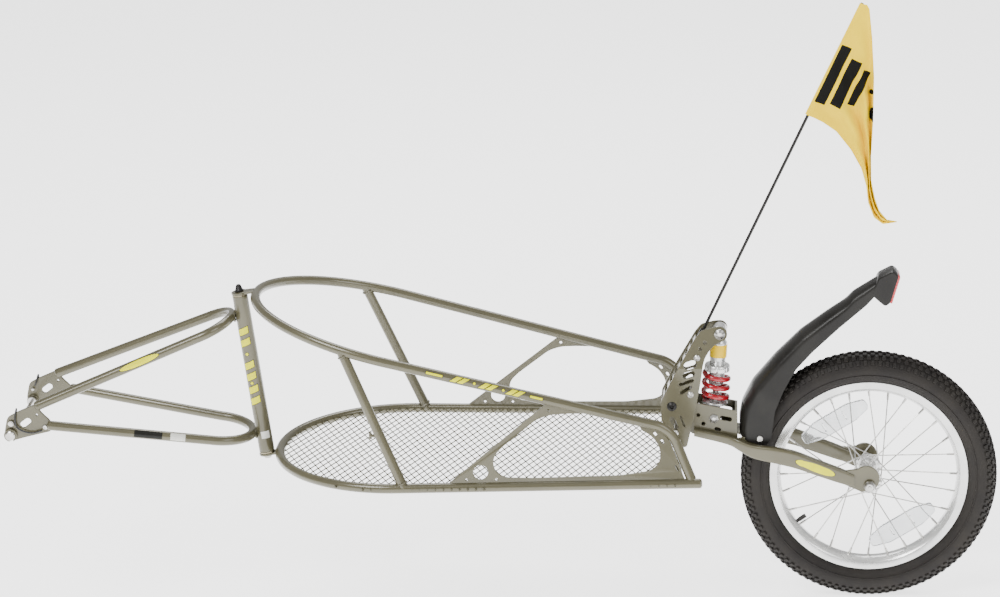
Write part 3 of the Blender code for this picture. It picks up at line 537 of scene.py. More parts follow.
# %% Rails
TUBE_R = 0.0078
LOW_Z = -0.055
UP_SLOPE, LOW_TAPER = 0.262, 0.042
LEAN_IN = 0.015  # how much narrower the upper rail is
BEND_X = 1.036  # where the upper rail starts to turn down
LOW_HOOP_LONG, LOW_HOOP_BACK = 0.2, 0.623


def half_low(x):
    return 0.2015 - LOW_TAPER * (x - 0.65)


def height_up(x):
    return 0.206 - UP_SLOPE * (x - 0.3945)


def hoop(front, length, half, count=44):
    turns = [math.pi / 2 * i / count for i in range(count + 1)]
    return [(front + length * (1 - math.cos(t)), half * math.sin(t)) for t in turns]


def whole(half_path):
    """A path and its mirror image as one, from one that starts on the centre line."""
    return [Vector((x, -y, z)) for x, y, z in reversed(half_path)] + [Vector(p) for p in half_path[1:]]


def rail_drop(inward, foot=-0.044, count=18):
    """Side view of the upper rail's bend and tail, moved towards the inside of the bend."""
    fall, steep, bend = math.atan(UP_SLOPE), math.radians(68), 0.05
    cx, cz = BEND_X - bend * math.sin(fall), height_up(BEND_X) - bend * math.cos(fall)
    turns = [fall + (steep - fall) * i / count for i in range(count + 1)]
    path = [(cx + (bend - inward) * math.sin(t), cz + (bend - inward) * math.cos(t)) for t in turns]
    x, z = path[-1]
    return path + [(x + (z - foot) / math.tan(steep), foot)]


low_half = [(x, y, LOW_Z) for x, y in hoop(0.423, LOW_HOOP_LONG, half_low(LOW_HOOP_BACK))]
low_half += [(x, half_low(x), LOW_Z) for x in (0.7, 0.8, 0.9, 1.0, 1.106)]
up_half = [(x, y, height_up(x)) for x, y in hoop(0.3945, 0.215, 0.187)]
drop = rail_drop(0, -0.05)
up_half += [(x, half_low(x) - LEAN_IN, z) for x, z in drop[:-1]]
tail_x, tail_z = drop[-1]
up_half += [(tail_x, half_low(tail_x) - 0.004, tail_z)]
lower_rail = tube("lower_rail_tube", whole(low_half), TUBE_R)
upper_rail = tube("upper_rail_tube", whole(up_half), TUBE_R)
plug = spun("rail_plug", [(0, 0.0077), (0.001, 0.0077), (0.0028, 0.0066), (0.004, 0.004), (0.0044, 0)],
            (1.1058, half_low(1.106), LOW_Z), (1, -LOW_TAPER, 0), 24)
lower_rail = join("lower_rail_tube", [lower_rail, plug, copy_of(plug, "rail_plug_left", ACROSS)])
hang(lower_rail, powder_coat, "basket", "lower_rail")
hang(upper_rail, powder_coat, "basket", "upper_rail")
reach = half_low(1.07)
crossbar = tube("crossbar_tube", [Vector((1.07, -reach, LOW_Z)), Vector((1.07, reach, LOW_Z))], TUBE_R)
hang(crossbar, powder_coat, "basket", "rear_crossbar")

# %% [markdown]
# ## Struts with their hooks
# Two straight tubes stiffen the hoops. Where a tube is welded to another its end is mitred, so
# a visible weld bead runs round the joint. Each strut carries a small T-shaped peg for a strap.


# %% Struts
def weld(name, place, along, radius, bead=0.0016):
    """A ring of weld, rippled as it is laid."""
    along = along.normalized()
    side = along.orthogonal().normalized()
    other = along.cross(side)
    points = []
    for i in range(97):
        a = 2 * math.pi * i / 96
        ripple = 1 + 0.02 * math.sin(a * 24)
        points.append(place + (side * math.cos(a) + other * math.sin(a)) * radius * ripple)
    return tube(name, points, bead, 2)


def strut_side():
    top = Vector((0.55, 0.1797, height_up(0.55)))
    low = Vector((0.643, half_low(0.643), LOW_Z))
    along = (low - top).normalized()
    welds = [weld("weld_top", top + along * 0.0098, along, 0.008),
             weld("weld_low", low - along * 0.0088, along, 0.008)]
    foot, half_head = top.lerp(low, 0.62), Vector((0, 0, 0.0052))
    tip = foot + Vector((-0.0165, -0.012, -0.003))
    peg = [tube("peg", [foot, tip], 0.0026, 4), tube("peg_head", [tip - half_head, tip + half_head], 0.0024, 4)]
    return join("strut_right", [tube("strut", [top, low], TUBE_R)] + welds + peg)


hang_both(strut_side(), "strut_left", powder_coat, "basket", "front_strut_right", "front_strut_left")

# %% [markdown]
# ## Side panels
# Each side has one laser-cut sheet: a strap in front, a solid foot with lightening holes, and a
# thin web behind, round a large window. It is welded between the rails, so it leans inwards.
# The flat part is cut first, and then every point is moved out to the leaning side.


# %% Side panels
def lean(x, z):
    rise = min(max((z - LOW_Z) / (height_up(x) - LOW_Z), 0), 1)
    return half_low(x) - LEAN_IN * rise


def panel_side():
    def under_rail(x):
        return x, height_up(x) - 0.0065

    base, edge = LOW_Z + 0.007, [(x - 0.002, z) for x, z in rail_drop(0.006)]
    outline = [(0.714, base), (edge[-1][0], base)] + list(reversed(edge[:-1]))
    outline += [under_rail(1.012)]
    window = [(1.0235, 0.027), (1.034, 0.019), (1.043, 0.006), (1.046, -0.008), (1.043, -0.023), (1.03, -0.034)]
    window += [(0.98, -0.0405), (0.845, -0.042), (0.803, -0.0405), (0.788, -0.032), (0.783, -0.018)]
    window += [(0.786, -0.004), (0.798, 0.009), (0.852, 0.0515), (0.872, 0.0585), (0.9, 0.06)]
    outline += soften([under_rail(0.985)] + window + [under_rail(0.93)], 0.008)[5:-5]
    outline += [under_rail(0.93), under_rail(0.868)]
    holes = [ring(0.764, -0.031, 0.012, 32), ring(0.742, -0.0425, 0.0024), ring(0.7885, -0.0425, 0.0024)]
    holes += [ring(0.872, 0.0655, 0.0027), slot(1.036, 0.0255, 1.0385, 0.0225, 0.0024),
            slot(1.0475, 0.013, 1.049, 0.01, 0.0024)]
    holes += [slot(1.069, -0.027, 1.073, -0.034, 0.002)]
    panel = sheet_part("panel_right", [outline] + holes, -0.00125, 0.00125)
    for v in panel.data.vertices:
        v.co.y += lean(v.co.x, v.co.z)
    return panel


hang_both(panel_side(), "panel_left", powder_coat, "basket", "side_panel_right", "side_panel_left")

# %% [markdown]
# ## The floor of expanded metal
# Sheet steel is slit and stretched into diamonds. A grid gives the pattern: every square is
# poked into four triangles, and the grid's own lines are dissolved, which leaves diamonds. A
# wireframe then turns each line into a strand.


# %% Floor
def floor_half(x):
    if x < LOW_HOOP_BACK:
        return half_low(LOW_HOOP_BACK) * math.sqrt(max(1 - ((LOW_HOOP_BACK - x) / LOW_HOOP_LONG) ** 2, 0))
    return half_low(x)


def diamond_floor():
    pitch_x, pitch_y = 0.0127, 0.03
    across, back = 14, 51
    deselect()
    bpy.ops.mesh.primitive_grid_add(x_subdivisions=back, y_subdivisions=across, size=1,
                                    location=(0.4265 + back * pitch_x / 2, 0, LOW_Z))
    net = bpy.context.object
    net.name = "floor_net"
    net.scale = (back * pitch_x, across * pitch_y, 1)
    settle(net)
    bpy.ops.object.mode_set(mode="EDIT")
    bpy.ops.mesh.select_all(action="SELECT")
    bpy.ops.mesh.poke()
    shape = bmesh.from_edit_mesh(net.data)
    for e in shape.edges:
        run = e.verts[0].co - e.verts[1].co
        e.select_set((abs(run.x) < 1e-5 or abs(run.y) < 1e-5) and len(e.link_faces) == 2)
    bmesh.update_edit_mesh(net.data)
    bpy.ops.mesh.select_mode(type="EDGE")
    bpy.ops.mesh.dissolve_edges(use_verts=False)
    shape = bmesh.from_edit_mesh(net.data)
    outside = []
    for f in shape.faces:
        middle = f.calc_center_median()
        if abs(middle.y) > floor_half(middle.x) - 0.001 or middle.x > 1.068:
            outside.append(f)
    bmesh.ops.delete(shape, geom=outside, context="FACES")
    bmesh.update_edit_mesh(net.data)
    bpy.ops.object.mode_set(mode="OBJECT")
    print("diamonds:", len(net.data.polygons))
    modify(net, "WIREFRAME", thickness=0.0024, use_replace=True, use_even_offset=False)
    pick(net)
    bpy.ops.object.shade_flat()
    return net


hang(diamond_floor(), powder_coat, "basket", "floor_mesh")

# %% [markdown]
# ## The pivot between fork and basket
# The fork turns about a steep axis like a bicycle's headset. A large tube with a metal bush
# in each end turns on one long bolt, which two welded eyes on the rails hold. A black cap
# covers the nut. The tube is spun from its section, walls and all.

# %% Pivot
PIVOT_LOW, PIVOT_TOP = Vector((0.3995, 0.0, -0.0599)), Vector((0.368, 0.0, 0.2036))
PIVOT_AXIS = (PIVOT_TOP - PIVOT_LOW).normalized()
PIVOT_LEN = (PIVOT_TOP - PIVOT_LOW).length
PIVOT_R = 0.0125
wall = [(0.0, 0.0108), (0.0, 0.0119), (0.0006, PIVOT_R), (PIVOT_LEN - 0.0006, PIVOT_R), (PIVOT_LEN, 0.0119)]
pivot_tube = spun("pivot_tube_steel", wall + [(PIVOT_LEN, 0.0108)], PIVOT_LOW, PIVOT_AXIS, 64, closed=True)
hang(pivot_tube, powder_coat, "fork", "pivot_tube")


def eye(name, along, reach, width, node):
    """A lug: a round eye with a neck, 4 mm thick, square to the pivot's axis."""
    start = math.degrees(math.asin(width / 0.0125))
    outline = arc(0, 0, 0.0125, start, 360 - start, 30) + [(reach, -width), (reach, width)]
    lug = sheet_part(name, [outline, ring(0, 0, 0.0043)], 0, 0.004, edge=0.0007)
    back = SIDEWAYS.cross(PIVOT_AXIS)
    turn = Matrix((back, PIVOT_AXIS, Vector((0, -1, 0)))).transposed().to_4x4()
    lug.data.transform(Matrix.Translation(PIVOT_LOW + PIVOT_AXIS * along) @ turn)
    return hang(lug, powder_coat, "basket", node)


eye("lower_eye", -0.0066, 0.0195, 0.0085, "lower_lug")
eye("upper_eye", PIVOT_LEN + 0.0026, 0.0225, 0.009, "upper_lug")
for node, mat in (("lower_bush", bronze), ("upper_bush", bronze), ("pivot_bolt", zinc_plate)):
    dress(node, mat)
cap_base = PIVOT_LEN + 0.0069
cap = [(0, 0.0044), (0, 0.007), (0.0022, 0.0071), (0.003, 0.0062), (0.0095, 0.0042), (0.0112, 0.0028),
       (0.0118, 0)]
hang(spun("pivot_cap_cone", [(cap_base + s, r) for s, r in cap], PIVOT_LOW, PIVOT_AXIS, 36), moulded_black, "basket",
     "pivot_cap")

# %% [markdown]
# ## The fork
# Two bent tubes reach forwards from the pivot, one high and one low. Each is a straight leg, a
# tight bend against the pivot tube, and the other leg. Their free ends are closed with small
# domes over the dropout plates.


# %% Fork tubes
def fork_path(end, start, apex_x, apex_z, count=26):
    path = [end]
    for i in range(count + 1):
        t = math.pi / 2 * i / count
        path.append((start[0] + (apex_x - start[0]) * math.sin(t), start[1] * math.cos(t),
                     start[2] + (apex_z - start[2]) * math.sin(t)))
    return list(reversed(path))


def fork_tube(name, end, start, apex_x, apex_z, node):
    path = whole(fork_path(end, start, apex_x, apex_z))
    bar = tube(name, path, TUBE_R)
    tip, along = path[-1], (path[-1] - path[-2]).normalized()
    dome = spun(name + "_dome", [(-0.0005, 0.0078), (0.0016, 0.0072), (0.0038, 0.0048), (0.0048, 0)], tip, along, 28)
    bead = weld(name + "_bead", Vector((apex_x + 0.006, 0, apex_z)), Vector((1, 0, 0)), 0.0082)
    whole_tube = join(name, [bar, dome, copy_of(dome, "dome_left", ACROSS), bead])
    return hang(whole_tube, powder_coat, "fork", node)


fork_tube("fork_upper_steel", (0.044, 0.0869, 0.0462), (0.305, 0.06, 0.15), 0.352, 0.1685, "fork_upper_tube")
fork_tube("fork_lower_steel", (0.065, 0.0969, 0.0166), (0.318, 0.062, -0.0212), 0.3775, -0.029, "fork_lower_tube")

# %% [markdown]
# ## Dropouts, hitch knobs and spring pins
# The plates at the fork's ends sit over the towing bicycle's axle. Each has a slotted boss, and
# a spring pin on a short coated lanyard keeps it shut. The boss is a turned ring with its lower
# side cut open, so a box-shaped cutter removes the slot.


# %% Dropouts
PIN_PLACE = (0.002, 0, 0.0195)


def mirrored(half):
    """The other half of a profile whose first number runs across the trailer."""
    return [(-y, r) for y, r in reversed(half)]


def dropout_side():
    outline = soften([(-0.004, 0.0285), (-0.0098, 0.0036), (-0.006, -0.0088), (0.005, -0.0092), (0.024, -0.004)]
                     + [(0.0662, 0.006), (0.065, 0.0225), (0.054, 0.033), (0.046, 0.043), (0.04, 0.049)]
                     + [(0.013, 0.0375)], 0.005)
    holes = [slot(0.021, 0.0165, 0.029, 0.0225, 0.0056, 12), ring(0.044, 0.033, 0.0023), ring(0, 0, 0.0044)]
    plate = sheet_part("dropout_right", [outline] + holes, 0.0875, 0.0925, edge=0.0006)
    outer = spun("boss_outer", [(0.092, 0.0044), (0.0985, 0.0044), (0.0985, 0.0098), (0.0978, 0.0105),
            (0.092, 0.0105)],
                 (0, 0, 0), closed=True)
    inner = spun("boss_inner", [(0.0845, 0.0044), (0.088, 0.0044), (0.088, 0.0095), (0.085, 0.0095), (0.0845, 0.009)],
                 (0, 0, 0), closed=True)
    deselect()
    bpy.ops.mesh.primitive_cube_add(size=1, location=(0.0012, 0.095, -0.008))
    cutter = bpy.context.object
    cutter.scale = (0.006, 0.03, 0.014)
    settle(cutter)
    boss = cut_away(join("boss_right", [outer, inner]), cutter)
    collar = spun("pin_collar", [(0.092, 0.0027), (0.0948, 0.0027), (0.0948, 0.005), (0.092, 0.0056)],
                  PIN_PLACE, sides=32, closed=True)
    return join("dropout_right_plate", [plate, boss, collar])


hang_both(dropout_side(), "dropout_left_plate", powder_coat, "fork", "dropout_right", "dropout_left")

# %% Skewer with its two knobs
KNOB = [(0.1022, 0), (0.1022, 0.0062), (0.101, 0.0078), (0.0992, 0.0082), (0.0992, 0.004)]
STEM = [(0.084, 0.004), (0.084, 0.0078), (0.0828, 0.0082), (0.076, 0.0082), (0.0748, 0.0074), (0.0748, 0.0028)]
skewer_rod = spun("hitch_rod", KNOB + STEM + mirrored(KNOB + STEM), (0, 0, 0), sides=40)
hang(skewer_rod, zinc_plate, "fork", "hitch_skewer")
pin_profile = [(0.08, 0), (0.0806, 0.0021), (0.0812, 0.0025), (0.0951, 0.0025), (0.0951, 0.0044), (0.0957, 0.0048),
               (0.0972, 0.0048), (0.0978, 0.0043), (0.0978, 0.0034), (0.099, 0.0031), (0.0992, 0)]
pin_right = spun("spring_pin_right", pin_profile, PIN_PLACE, sides=32)
pin_left = copy_of(pin_right, "spring_pin_left", ACROSS)
hang(pin_right, zinc_plate, "pin_right", "retention_pin_right")
hang(pin_left, zinc_plate, "pin_left", "retention_pin_left")

# %% [markdown]
# ## Lanyards
# A coated wire runs from a screw on the plate, round the boss and over the plate's top edge to
# the pin. It bends as the pin is pulled, but here it is one fixed wire that rides on no body.


# %% Lanyards and their screws
def smooth_route(points, pieces):
    ends = [2 * points[0] - points[1]] + points + [2 * points[-1] - points[-2]]
    route = []
    for a, b, c, d in zip(ends, ends[1:], ends[2:], ends[3:]):
        for i in range(pieces):
            t = i / pieces
            route.append(0.5 * (2 * b + (c - a) * t + (2 * a - 5 * b + 4 * c - d) * t ** 2
                                + (3 * b - a - 3 * c + d) * t ** 3))
    return route + [points[-1]]


for side, sign in (("left", -1), ("right", 1)):
    out, inside = 0.0968, 0.0838
    stops = [(0.052, out, 0.008), (0.036, out, 0.004), (0.02, out, 0.0075), (0.01, out, 0.0165)]
    stops += [(0.0095, out, 0.031), (0.011, 0.09, 0.0425), (0.0085, inside, 0.033), (0.0055, inside, 0.0255)]
    wire = tube(f"lanyard_{side}_wire", smooth_route([Vector((x, sign * y, z)) for x, y, z in stops], 9), 0.0014, 5)
    wire.data.materials.append(cord_black)
    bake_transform(wire)
    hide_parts(f"lanyard_{side}")
    screw = [(0.0848, 0), (0.0848, 0.002), (0.0927, 0.002), (0.0927, 0.0042), (0.0938, 0.0042), (0.0952, 0.003)]
    screw += [(0.0952, 0.0016), (0.094, 0.0016), (0.094, 0)]
    head = spun(f"lanyard_screw_{side}_head", screw, (0.0565, 0, 0.0125), (0, sign, 0), 30)
    hang(head, zinc_plate, "fork", f"lanyard_screw_{side}")

# %% [markdown]
# ## The mast
# One sheet is folded into a channel: two cheeks with lightening holes, and a front web cut into
# a ladder. The cheeks are cut flat, and the web is two flat strips between them. Above the web
# the channel narrows in a straight line towards the shock absorber's upper eye.


# %% Mast
ARM_PIVOT, SHOCK_UPPER_EYE, SHOCK_LOWER_EYE = (1.06, 0.022), (1.1375, 0.139), (1.127, 0.0)
MAST_BOLTS = {"upper": (1.101, 0.102), "middle": (1.09, 0.0415), "lower": (1.065, -0.023)}


def between(name, first, last, half, thick, holes, overhang=0.0):
    """A flat strip across the trailer, from one side-view point to another, with holes along it."""
    first, last = Vector((first[0], 0, first[1])), Vector((last[0], 0, last[1]))
    along, long = (last - first).normalized(), (last - first).length
    outline = [(-overhang, -half), (long + overhang, -half), (long + overhang, half), (-overhang, half)]
    strip = sheet_part(name, [outline] + holes, 0, thick)
    turn = Matrix((along, SIDEWAYS.cross(along), SIDEWAYS)).transposed().to_4x4()
    strip.data.transform(Matrix.Translation(first) @ turn)
    return strip


def mast_steel():
    outline = [(1.043, -0.001), (1.043, 0.031), (1.065, 0.074), (1.098, 0.132), (1.108, 0.1445)]
    outline += [(1.119, 0.1475), (1.13, 0.1502)] + arc(*SHOCK_UPPER_EYE, 0.0115, 85, -55, 14)
    outline += [(1.132, 0.1245), (1.1215, 0.115), (1.1135, 0.102), (1.11, 0.09), (1.106, 0.062)]
    outline += [(1.097, 0.014), (1.083, -0.0466), (1.061, -0.0466), (1.056, -0.023)]
    holes = [ring(1.114, 0.126, 0.0033), ring(1.1065, 0.116, 0.0033), ring(*ARM_PIVOT, 0.0063, 32)]
    holes += [ring(*SHOCK_UPPER_EYE, 0.0043)] + [ring(*place, 0.0028) for place in MAST_BOLTS.values()]
    holes += [slot(1.086, 0.089, 1.0945, 0.092, 0.0068)]
    holes += [slot(1.0825, 0.0735, 1.0925, 0.0765, 0.0054), slot(1.074, 0.0585, 1.093, 0.065, 0.0032)]
    holes += [slot(1.076, 0.045, 1.09, 0.054, 0.0032), slot(1.06, 0.001, 1.067, -0.014, 0.0042)]
    holes += [slot(1.074, 0.005, 1.08, -0.011, 0.0021)]
    cheek = sheet_part("cheek_right", [soften(outline, 0.004)] + holes, 0.0285, 0.0315)
    ladder = [slot(0.012 + i * 0.0175, -0.019, 0.012 + i * 0.0175, 0.019, 0.0048) for i in range(6)]
    web = between("web", (1.0445, 0.031), (1.0975, 0.128), 0.0292, 0.003, ladder, 0.001)
    shin = between("shin", (1.043, -0.004), (1.043, 0.0315), 0.0292, 0.003,
            [slot(0.016, -0.014, 0.016, 0.014, 0.005)])
    steel = join("mast_steel", [cheek, copy_of(cheek, "cheek_left", ACROSS), web, shin])
    taper_from, taper_height, taper_by = 0.085, 0.06, 0.35
    edit(steel, lambda: bpy.ops.mesh.bisect(plane_co=(0, 0, taper_from), plane_no=(0, 0, 1)))
    for v in steel.data.vertices:
        v.co.y *= 1 - taper_by * max(v.co.z - taper_from, 0) / taper_height
    return steel


hang(mast_steel(), powder_coat, "basket", "mast")

# %% [markdown]
# ## Bolts
# A bolt is one spun profile: a domed head with a socket on the left, and a shank. On the right
# is a nut, spun in six steps, which makes it hexagonal. The bolt under the shock absorber has a
# hexagonal head too.


# %% Bolts
def cross_bolt(name, x, z, reach, shank, head, thick, mat, body, node):
    """A bolt across the trailer: reach is half the grip, and thick the height of head and nut."""
    top, socket, end = -reach - thick, -reach - thick * 0.35, reach + thick + 0.001
    shaft = [(socket, 0), (socket, head * 0.42), (top, head * 0.45), (-reach - thick * 0.3, head * 0.95),
             (-reach, head), (-reach, shank), (end, shank), (end, 0)]
    bolt = spun(name, shaft, (x, 0, z), sides=6 if node == "shock_lower_bolt" else 32)
    nut = [(reach, shank * 0.9), (reach, head * 0.92), (reach + thick * 0.85, head * 0.92),
           (reach + thick, head * 0.8), (reach + thick, shank * 0.9)]
    hexagon = spun(name + "_nut", nut, (x, 0, z), sides=6, closed=True)
    return hang(join(name, [bolt, hexagon]), mat, body, node)


for name, (x, z) in MAST_BOLTS.items():
    cross_bolt(f"mast_screw_{name}", x, z, 0.0284 if name == "upper" else 0.0315, 0.0025, 0.0052, 0.003, zinc_plate,
            "basket", f"mast_bolt_{name}")
cross_bolt("shock_top_screw", *SHOCK_UPPER_EYE, 0.0216, 0.004, 0.009, 0.006, zinc_plate, "basket", "shock_top_bolt")
cross_bolt("arm_pivot_screw", *ARM_PIVOT, 0.0315, 0.0058, 0.0078, 0.004, moulded_black, "basket",
           "arm_pivot_bolt")
cross_bolt("shock_low_screw", *SHOCK_LOWER_EYE, 0.0275, 0.004, 0.0082, 0.0045, zinc_plate, "swing_arm",
           "shock_lower_bolt")

# %% [markdown]
# ## The swing arm
# In front it is a folded box that straddles the shock absorber, with slots in its cheeks. Two
# square legs are welded to it, swell outwards round the tyre, and end in plates that hold the
# axle. A leg changes its section all the way, so its skin is laid station by station.


# %% Arm box
def arm_steel():
    outline = arc(*ARM_PIVOT, 0.013, 250, 75, 20) + [(1.105, 0.0245), (1.164, 0.012)]
    outline += [(1.164, -0.0405), (1.15, -0.038), (1.092, -0.0245)]
    holes = [ring(*ARM_PIVOT, 0.0063, 32), ring(*SHOCK_LOWER_EYE, 0.0043), ring(1.102, 0.006, 0.0036)]
    holes += [ring(1.11, -0.0085, 0.0036), slot(1.1305, -0.0175, 1.135, -0.0187, 0.0034)]
    holes += [slot(1.14, 0.001, 1.152, -0.0015, 0.004)]
    cheek = sheet_part("arm_cheek", [outline] + holes, 0.0245, 0.0275)
    sole = sheet_part("arm_sole", [[(1.092, -0.0245), (1.15, -0.038), (1.164, -0.0405), (1.164, -0.0375),
                                    (1.15, -0.035), (1.092, -0.0215)]], -0.0252, 0.0252)
    rear = sheet_part("arm_rear", [[(1.161, -0.04), (1.164, -0.0405), (1.164, 0.012), (1.161, 0.0126)]],
                      -0.0252, 0.0252)
    return join("arm_steel", [cheek, copy_of(cheek, "arm_cheek_left", ACROSS), sole, rear])


hang(arm_steel(), powder_coat, "swing_arm", "arm_box")


# %% Legs
GUARD_SCREW = (1.2, -0.0305)


def leg_side():
    stations = [(1.095, 0.0339, -0.0205, 0.012, 0.0115), (1.148, 0.035, -0.033, 0.0145, 0.012)]
    stations += [(1.168, 0.0412, -0.0405, 0.018, 0.0125), (1.19, 0.048, -0.0485, 0.022, 0.013)]
    stations += [(1.225, 0.0545, -0.053, 0.0265, 0.014), (1.256, 0.057, -0.0595, 0.028, 0.014)]
    stations += [(1.29, 0.057, -0.0725, 0.0265, 0.014), (1.327, 0.057, -0.0865, 0.0245, 0.014)]
    stations += [(1.35, 0.057, -0.095, 0.02, 0.011)]
    middle = smooth_route([Vector(s[:3]) for s in stations], 5)
    sizes = smooth_route([Vector((s[3], s[4], 0)) for s in stations], 5)

    def place(i, j):
        a = 2 * math.pi * (i % 24) / 24
        tall, wide = sizes[j].x / 2, sizes[j].y / 2
        c, s = math.cos(a), math.sin(a)
        return middle[j] + Vector((0, wide * math.copysign(abs(c) ** 0.42, c),
                tall * math.copysign(abs(s) ** 0.42, s)))

    bar = close_up(edit(skin("leg_bar", 25, len(middle), place), merge_doubles, cap_ends))
    end = [(1.335, -0.079)] + arc(1.369, -0.092, 0.0205, 130, -45, 18) + [(1.379, -0.112)]
    end += arc(1.374, -0.103, 0.005, 0, 180, 12) + [(1.369, -0.112), (1.362, -0.1135), (1.335, -0.101)]
    plate = sheet_part("leg_end", [end], 0.0545, 0.0595, edge=0.0008)
    tab = soften([(1.15, -0.04), (1.172, -0.044), (1.208, -0.0405), (1.208, -0.024), (1.192, -0.024)]
                 + [(1.166, -0.032), (1.15, -0.029)], 0.004)
    ear = sheet_part("leg_tab", [tab, ring(*GUARD_SCREW, 0.0027)], 0.03, 0.0352)
    return join("leg_right_steel", [bar, plate, ear])


hang_both(leg_side(), "leg_left_steel", powder_coat, "swing_arm", "leg_right", "leg_left")

# %% [markdown]
# ## The mudguard and its reflector
# The mudguard is one plastic moulding, a deep channel with a rounded crown that narrows as it
# rises, with a raised step where its upper end begins. Its skin is laid between a crown line
# and a lower edge, and then it gets its wall thickness.


# %% Mudguard
def along_line(points, count):
    """Points at even steps along a line of points."""
    total = [0.0]
    for a, b in zip(points, points[1:]):
        total.append(total[-1] + (Vector(b) - Vector(a)).length)
    out, k = [], 0
    for i in range(count):
        want = total[-1] * i / (count - 1)
        while k < len(points) - 2 and total[k + 1] < want:
            k += 1
        share = (want - total[k]) / (total[k + 1] - total[k])
        out.append(Vector(points[k]).lerp(Vector(points[k + 1]), share))
    return out


def mudguard():
    crown = [(1.1675, -0.031), (1.1675, 0.0), (1.1715, 0.022), (1.188, 0.055), (1.224, 0.098), (1.265, 0.139)]
    crown += [(1.307, 0.17), (1.338, 0.191), (1.349, 0.203), (1.384, 0.225), (1.394, 0.23)]
    skirt = [(1.205, -0.0435), (1.219, -0.034), (1.225, 0.013), (1.238, 0.046), (1.258, 0.082), (1.285, 0.111)]
    skirt += [(1.328, 0.15), (1.369, 0.184), (1.384, 0.2)]
    rows, columns = 72, 33
    top, low = along_line(crown, rows), along_line(skirt, rows)

    def place(i, j):
        q, rise = 2 * i / (columns - 1) - 1, j / (rows - 1)
        width = 0.0376 * (1 - 0.48 * max(rise - 0.25, 0) / 0.75)
        depth = low[j] - top[j]
        inward = depth.normalized()
        bend = min(0.014, depth.length * 0.5)
        a = abs(q)
        if a < 0.66:
            t = a / 0.66 * math.pi / 2
            flat = top[j] + inward * bend * (1 - math.cos(t))
            return Vector((flat.x, math.copysign(width * math.sin(t), q), flat.y))
        flat = (top[j] + inward * bend).lerp(low[j], (a - 0.66) / 0.34)
        return Vector((flat.x, math.copysign(width, q), flat.y))

    guard = edit(skin("mudguard", columns, rows, place), face_outwards)
    face_towards(guard, (0, 0, 1))
    modify(guard, "SOLIDIFY", thickness=0.0022, offset=-1.0)
    modify(guard, "SMOOTH", factor=0.5, iterations=2)
    return smooth(guard, 50)


hang(mudguard(), moulded_black, "swing_arm", "fender")
for side, sign in (("left", -1), ("right", 1)):
    screw = [(0.0312, 0), (0.0312, 0.0023), (0.0383, 0.0023), (0.0383, 0.005), (0.0392, 0.005), (0.0403, 0.004)]
    screw += [(0.0403, 0.002), (0.0393, 0.002), (0.0393, 0)]
    hang(spun(f"mudguard_screw_{side}", screw, (GUARD_SCREW[0], 0, GUARD_SCREW[1]), (0, sign, 0), 30), zinc_plate,
         "swing_arm",
         f"fender_screw_{side}")

# %% Rear reflector
housing = soften([(1.3905, 0.228), (1.411, 0.2385), (1.4185, 0.2325), (1.406, 0.19), (1.4, 0.185),
                  (1.3905, 0.193), (1.38, 0.203)], 0.003)
lens = soften([(1.4188, 0.2325), (1.4225, 0.23), (1.4098, 0.1878), (1.4063, 0.19)], 0.001)
hang(sheet_part("reflector_shell", [housing], -0.0205, 0.0205, edge=0.0022), moulded_black, "swing_arm",
     "reflector_housing")
hang(sheet_part("reflector_red", [lens], -0.0188, 0.0188, edge=0.0009), ruby_lens, "swing_arm", "reflector_lens")

# %% [markdown]
# ## The shock absorber
# Its body is turned from alloy: an eye for the top bolt, a plain barrel with a yellow band, and
# a threaded length. A notched collar runs on the thread and sets the red spring. Below, a seat
# on a polished rod closes the spring in. The real spring shortens as the rod slides; this coil is fixed.

# %% Shock body, collar and rod
SHOCK_TOP, SHOCK_LOW = (Vector((x, 0, z)) for x, z in (SHOCK_UPPER_EYE, SHOCK_LOWER_EYE))
SHOCK_AXIS = (SHOCK_LOW - SHOCK_TOP).normalized()
SHOCK_LEN = (SHOCK_LOW - SHOCK_TOP).length


def eye_barrel(name, centre):
    section = [(-0.012, 0.0044), (-0.012, 0.0106), (-0.0111, 0.0115), (0.0111, 0.0115), (0.012, 0.0106),
            (0.012, 0.0044)]
    return spun(name, section, centre, closed=True)


body = [(0.0085, 0), (0.0085, 0.0078), (0.012, 0.0086), (0.0175, 0.0128), (0.02, 0.0135), (0.044, 0.0135),
        (0.046, 0.0125)]
for i in range(22):
    body += [(0.048 + i * 0.0018, 0.0125), (0.0489 + i * 0.0018, 0.0119)]
body += [(0.088, 0.0122), (0.088, 0.0054), (0.086, 0.0054), (0.086, 0)]
barrel = join("shock_barrel_alloy", [spun("barrel", body, SHOCK_TOP, SHOCK_AXIS, 48),
        eye_barrel("top_eye", SHOCK_TOP)])
hang(barrel, turned_alloy, "shock_barrel", "shock_body")
band = [(0.0215, 0.0134), (0.0215, 0.01375), (0.0425, 0.01375), (0.0425, 0.0134)]
hang(spun("shock_band", band, SHOCK_TOP, SHOCK_AXIS, 48, closed=True), yellow_band, "shock_barrel")

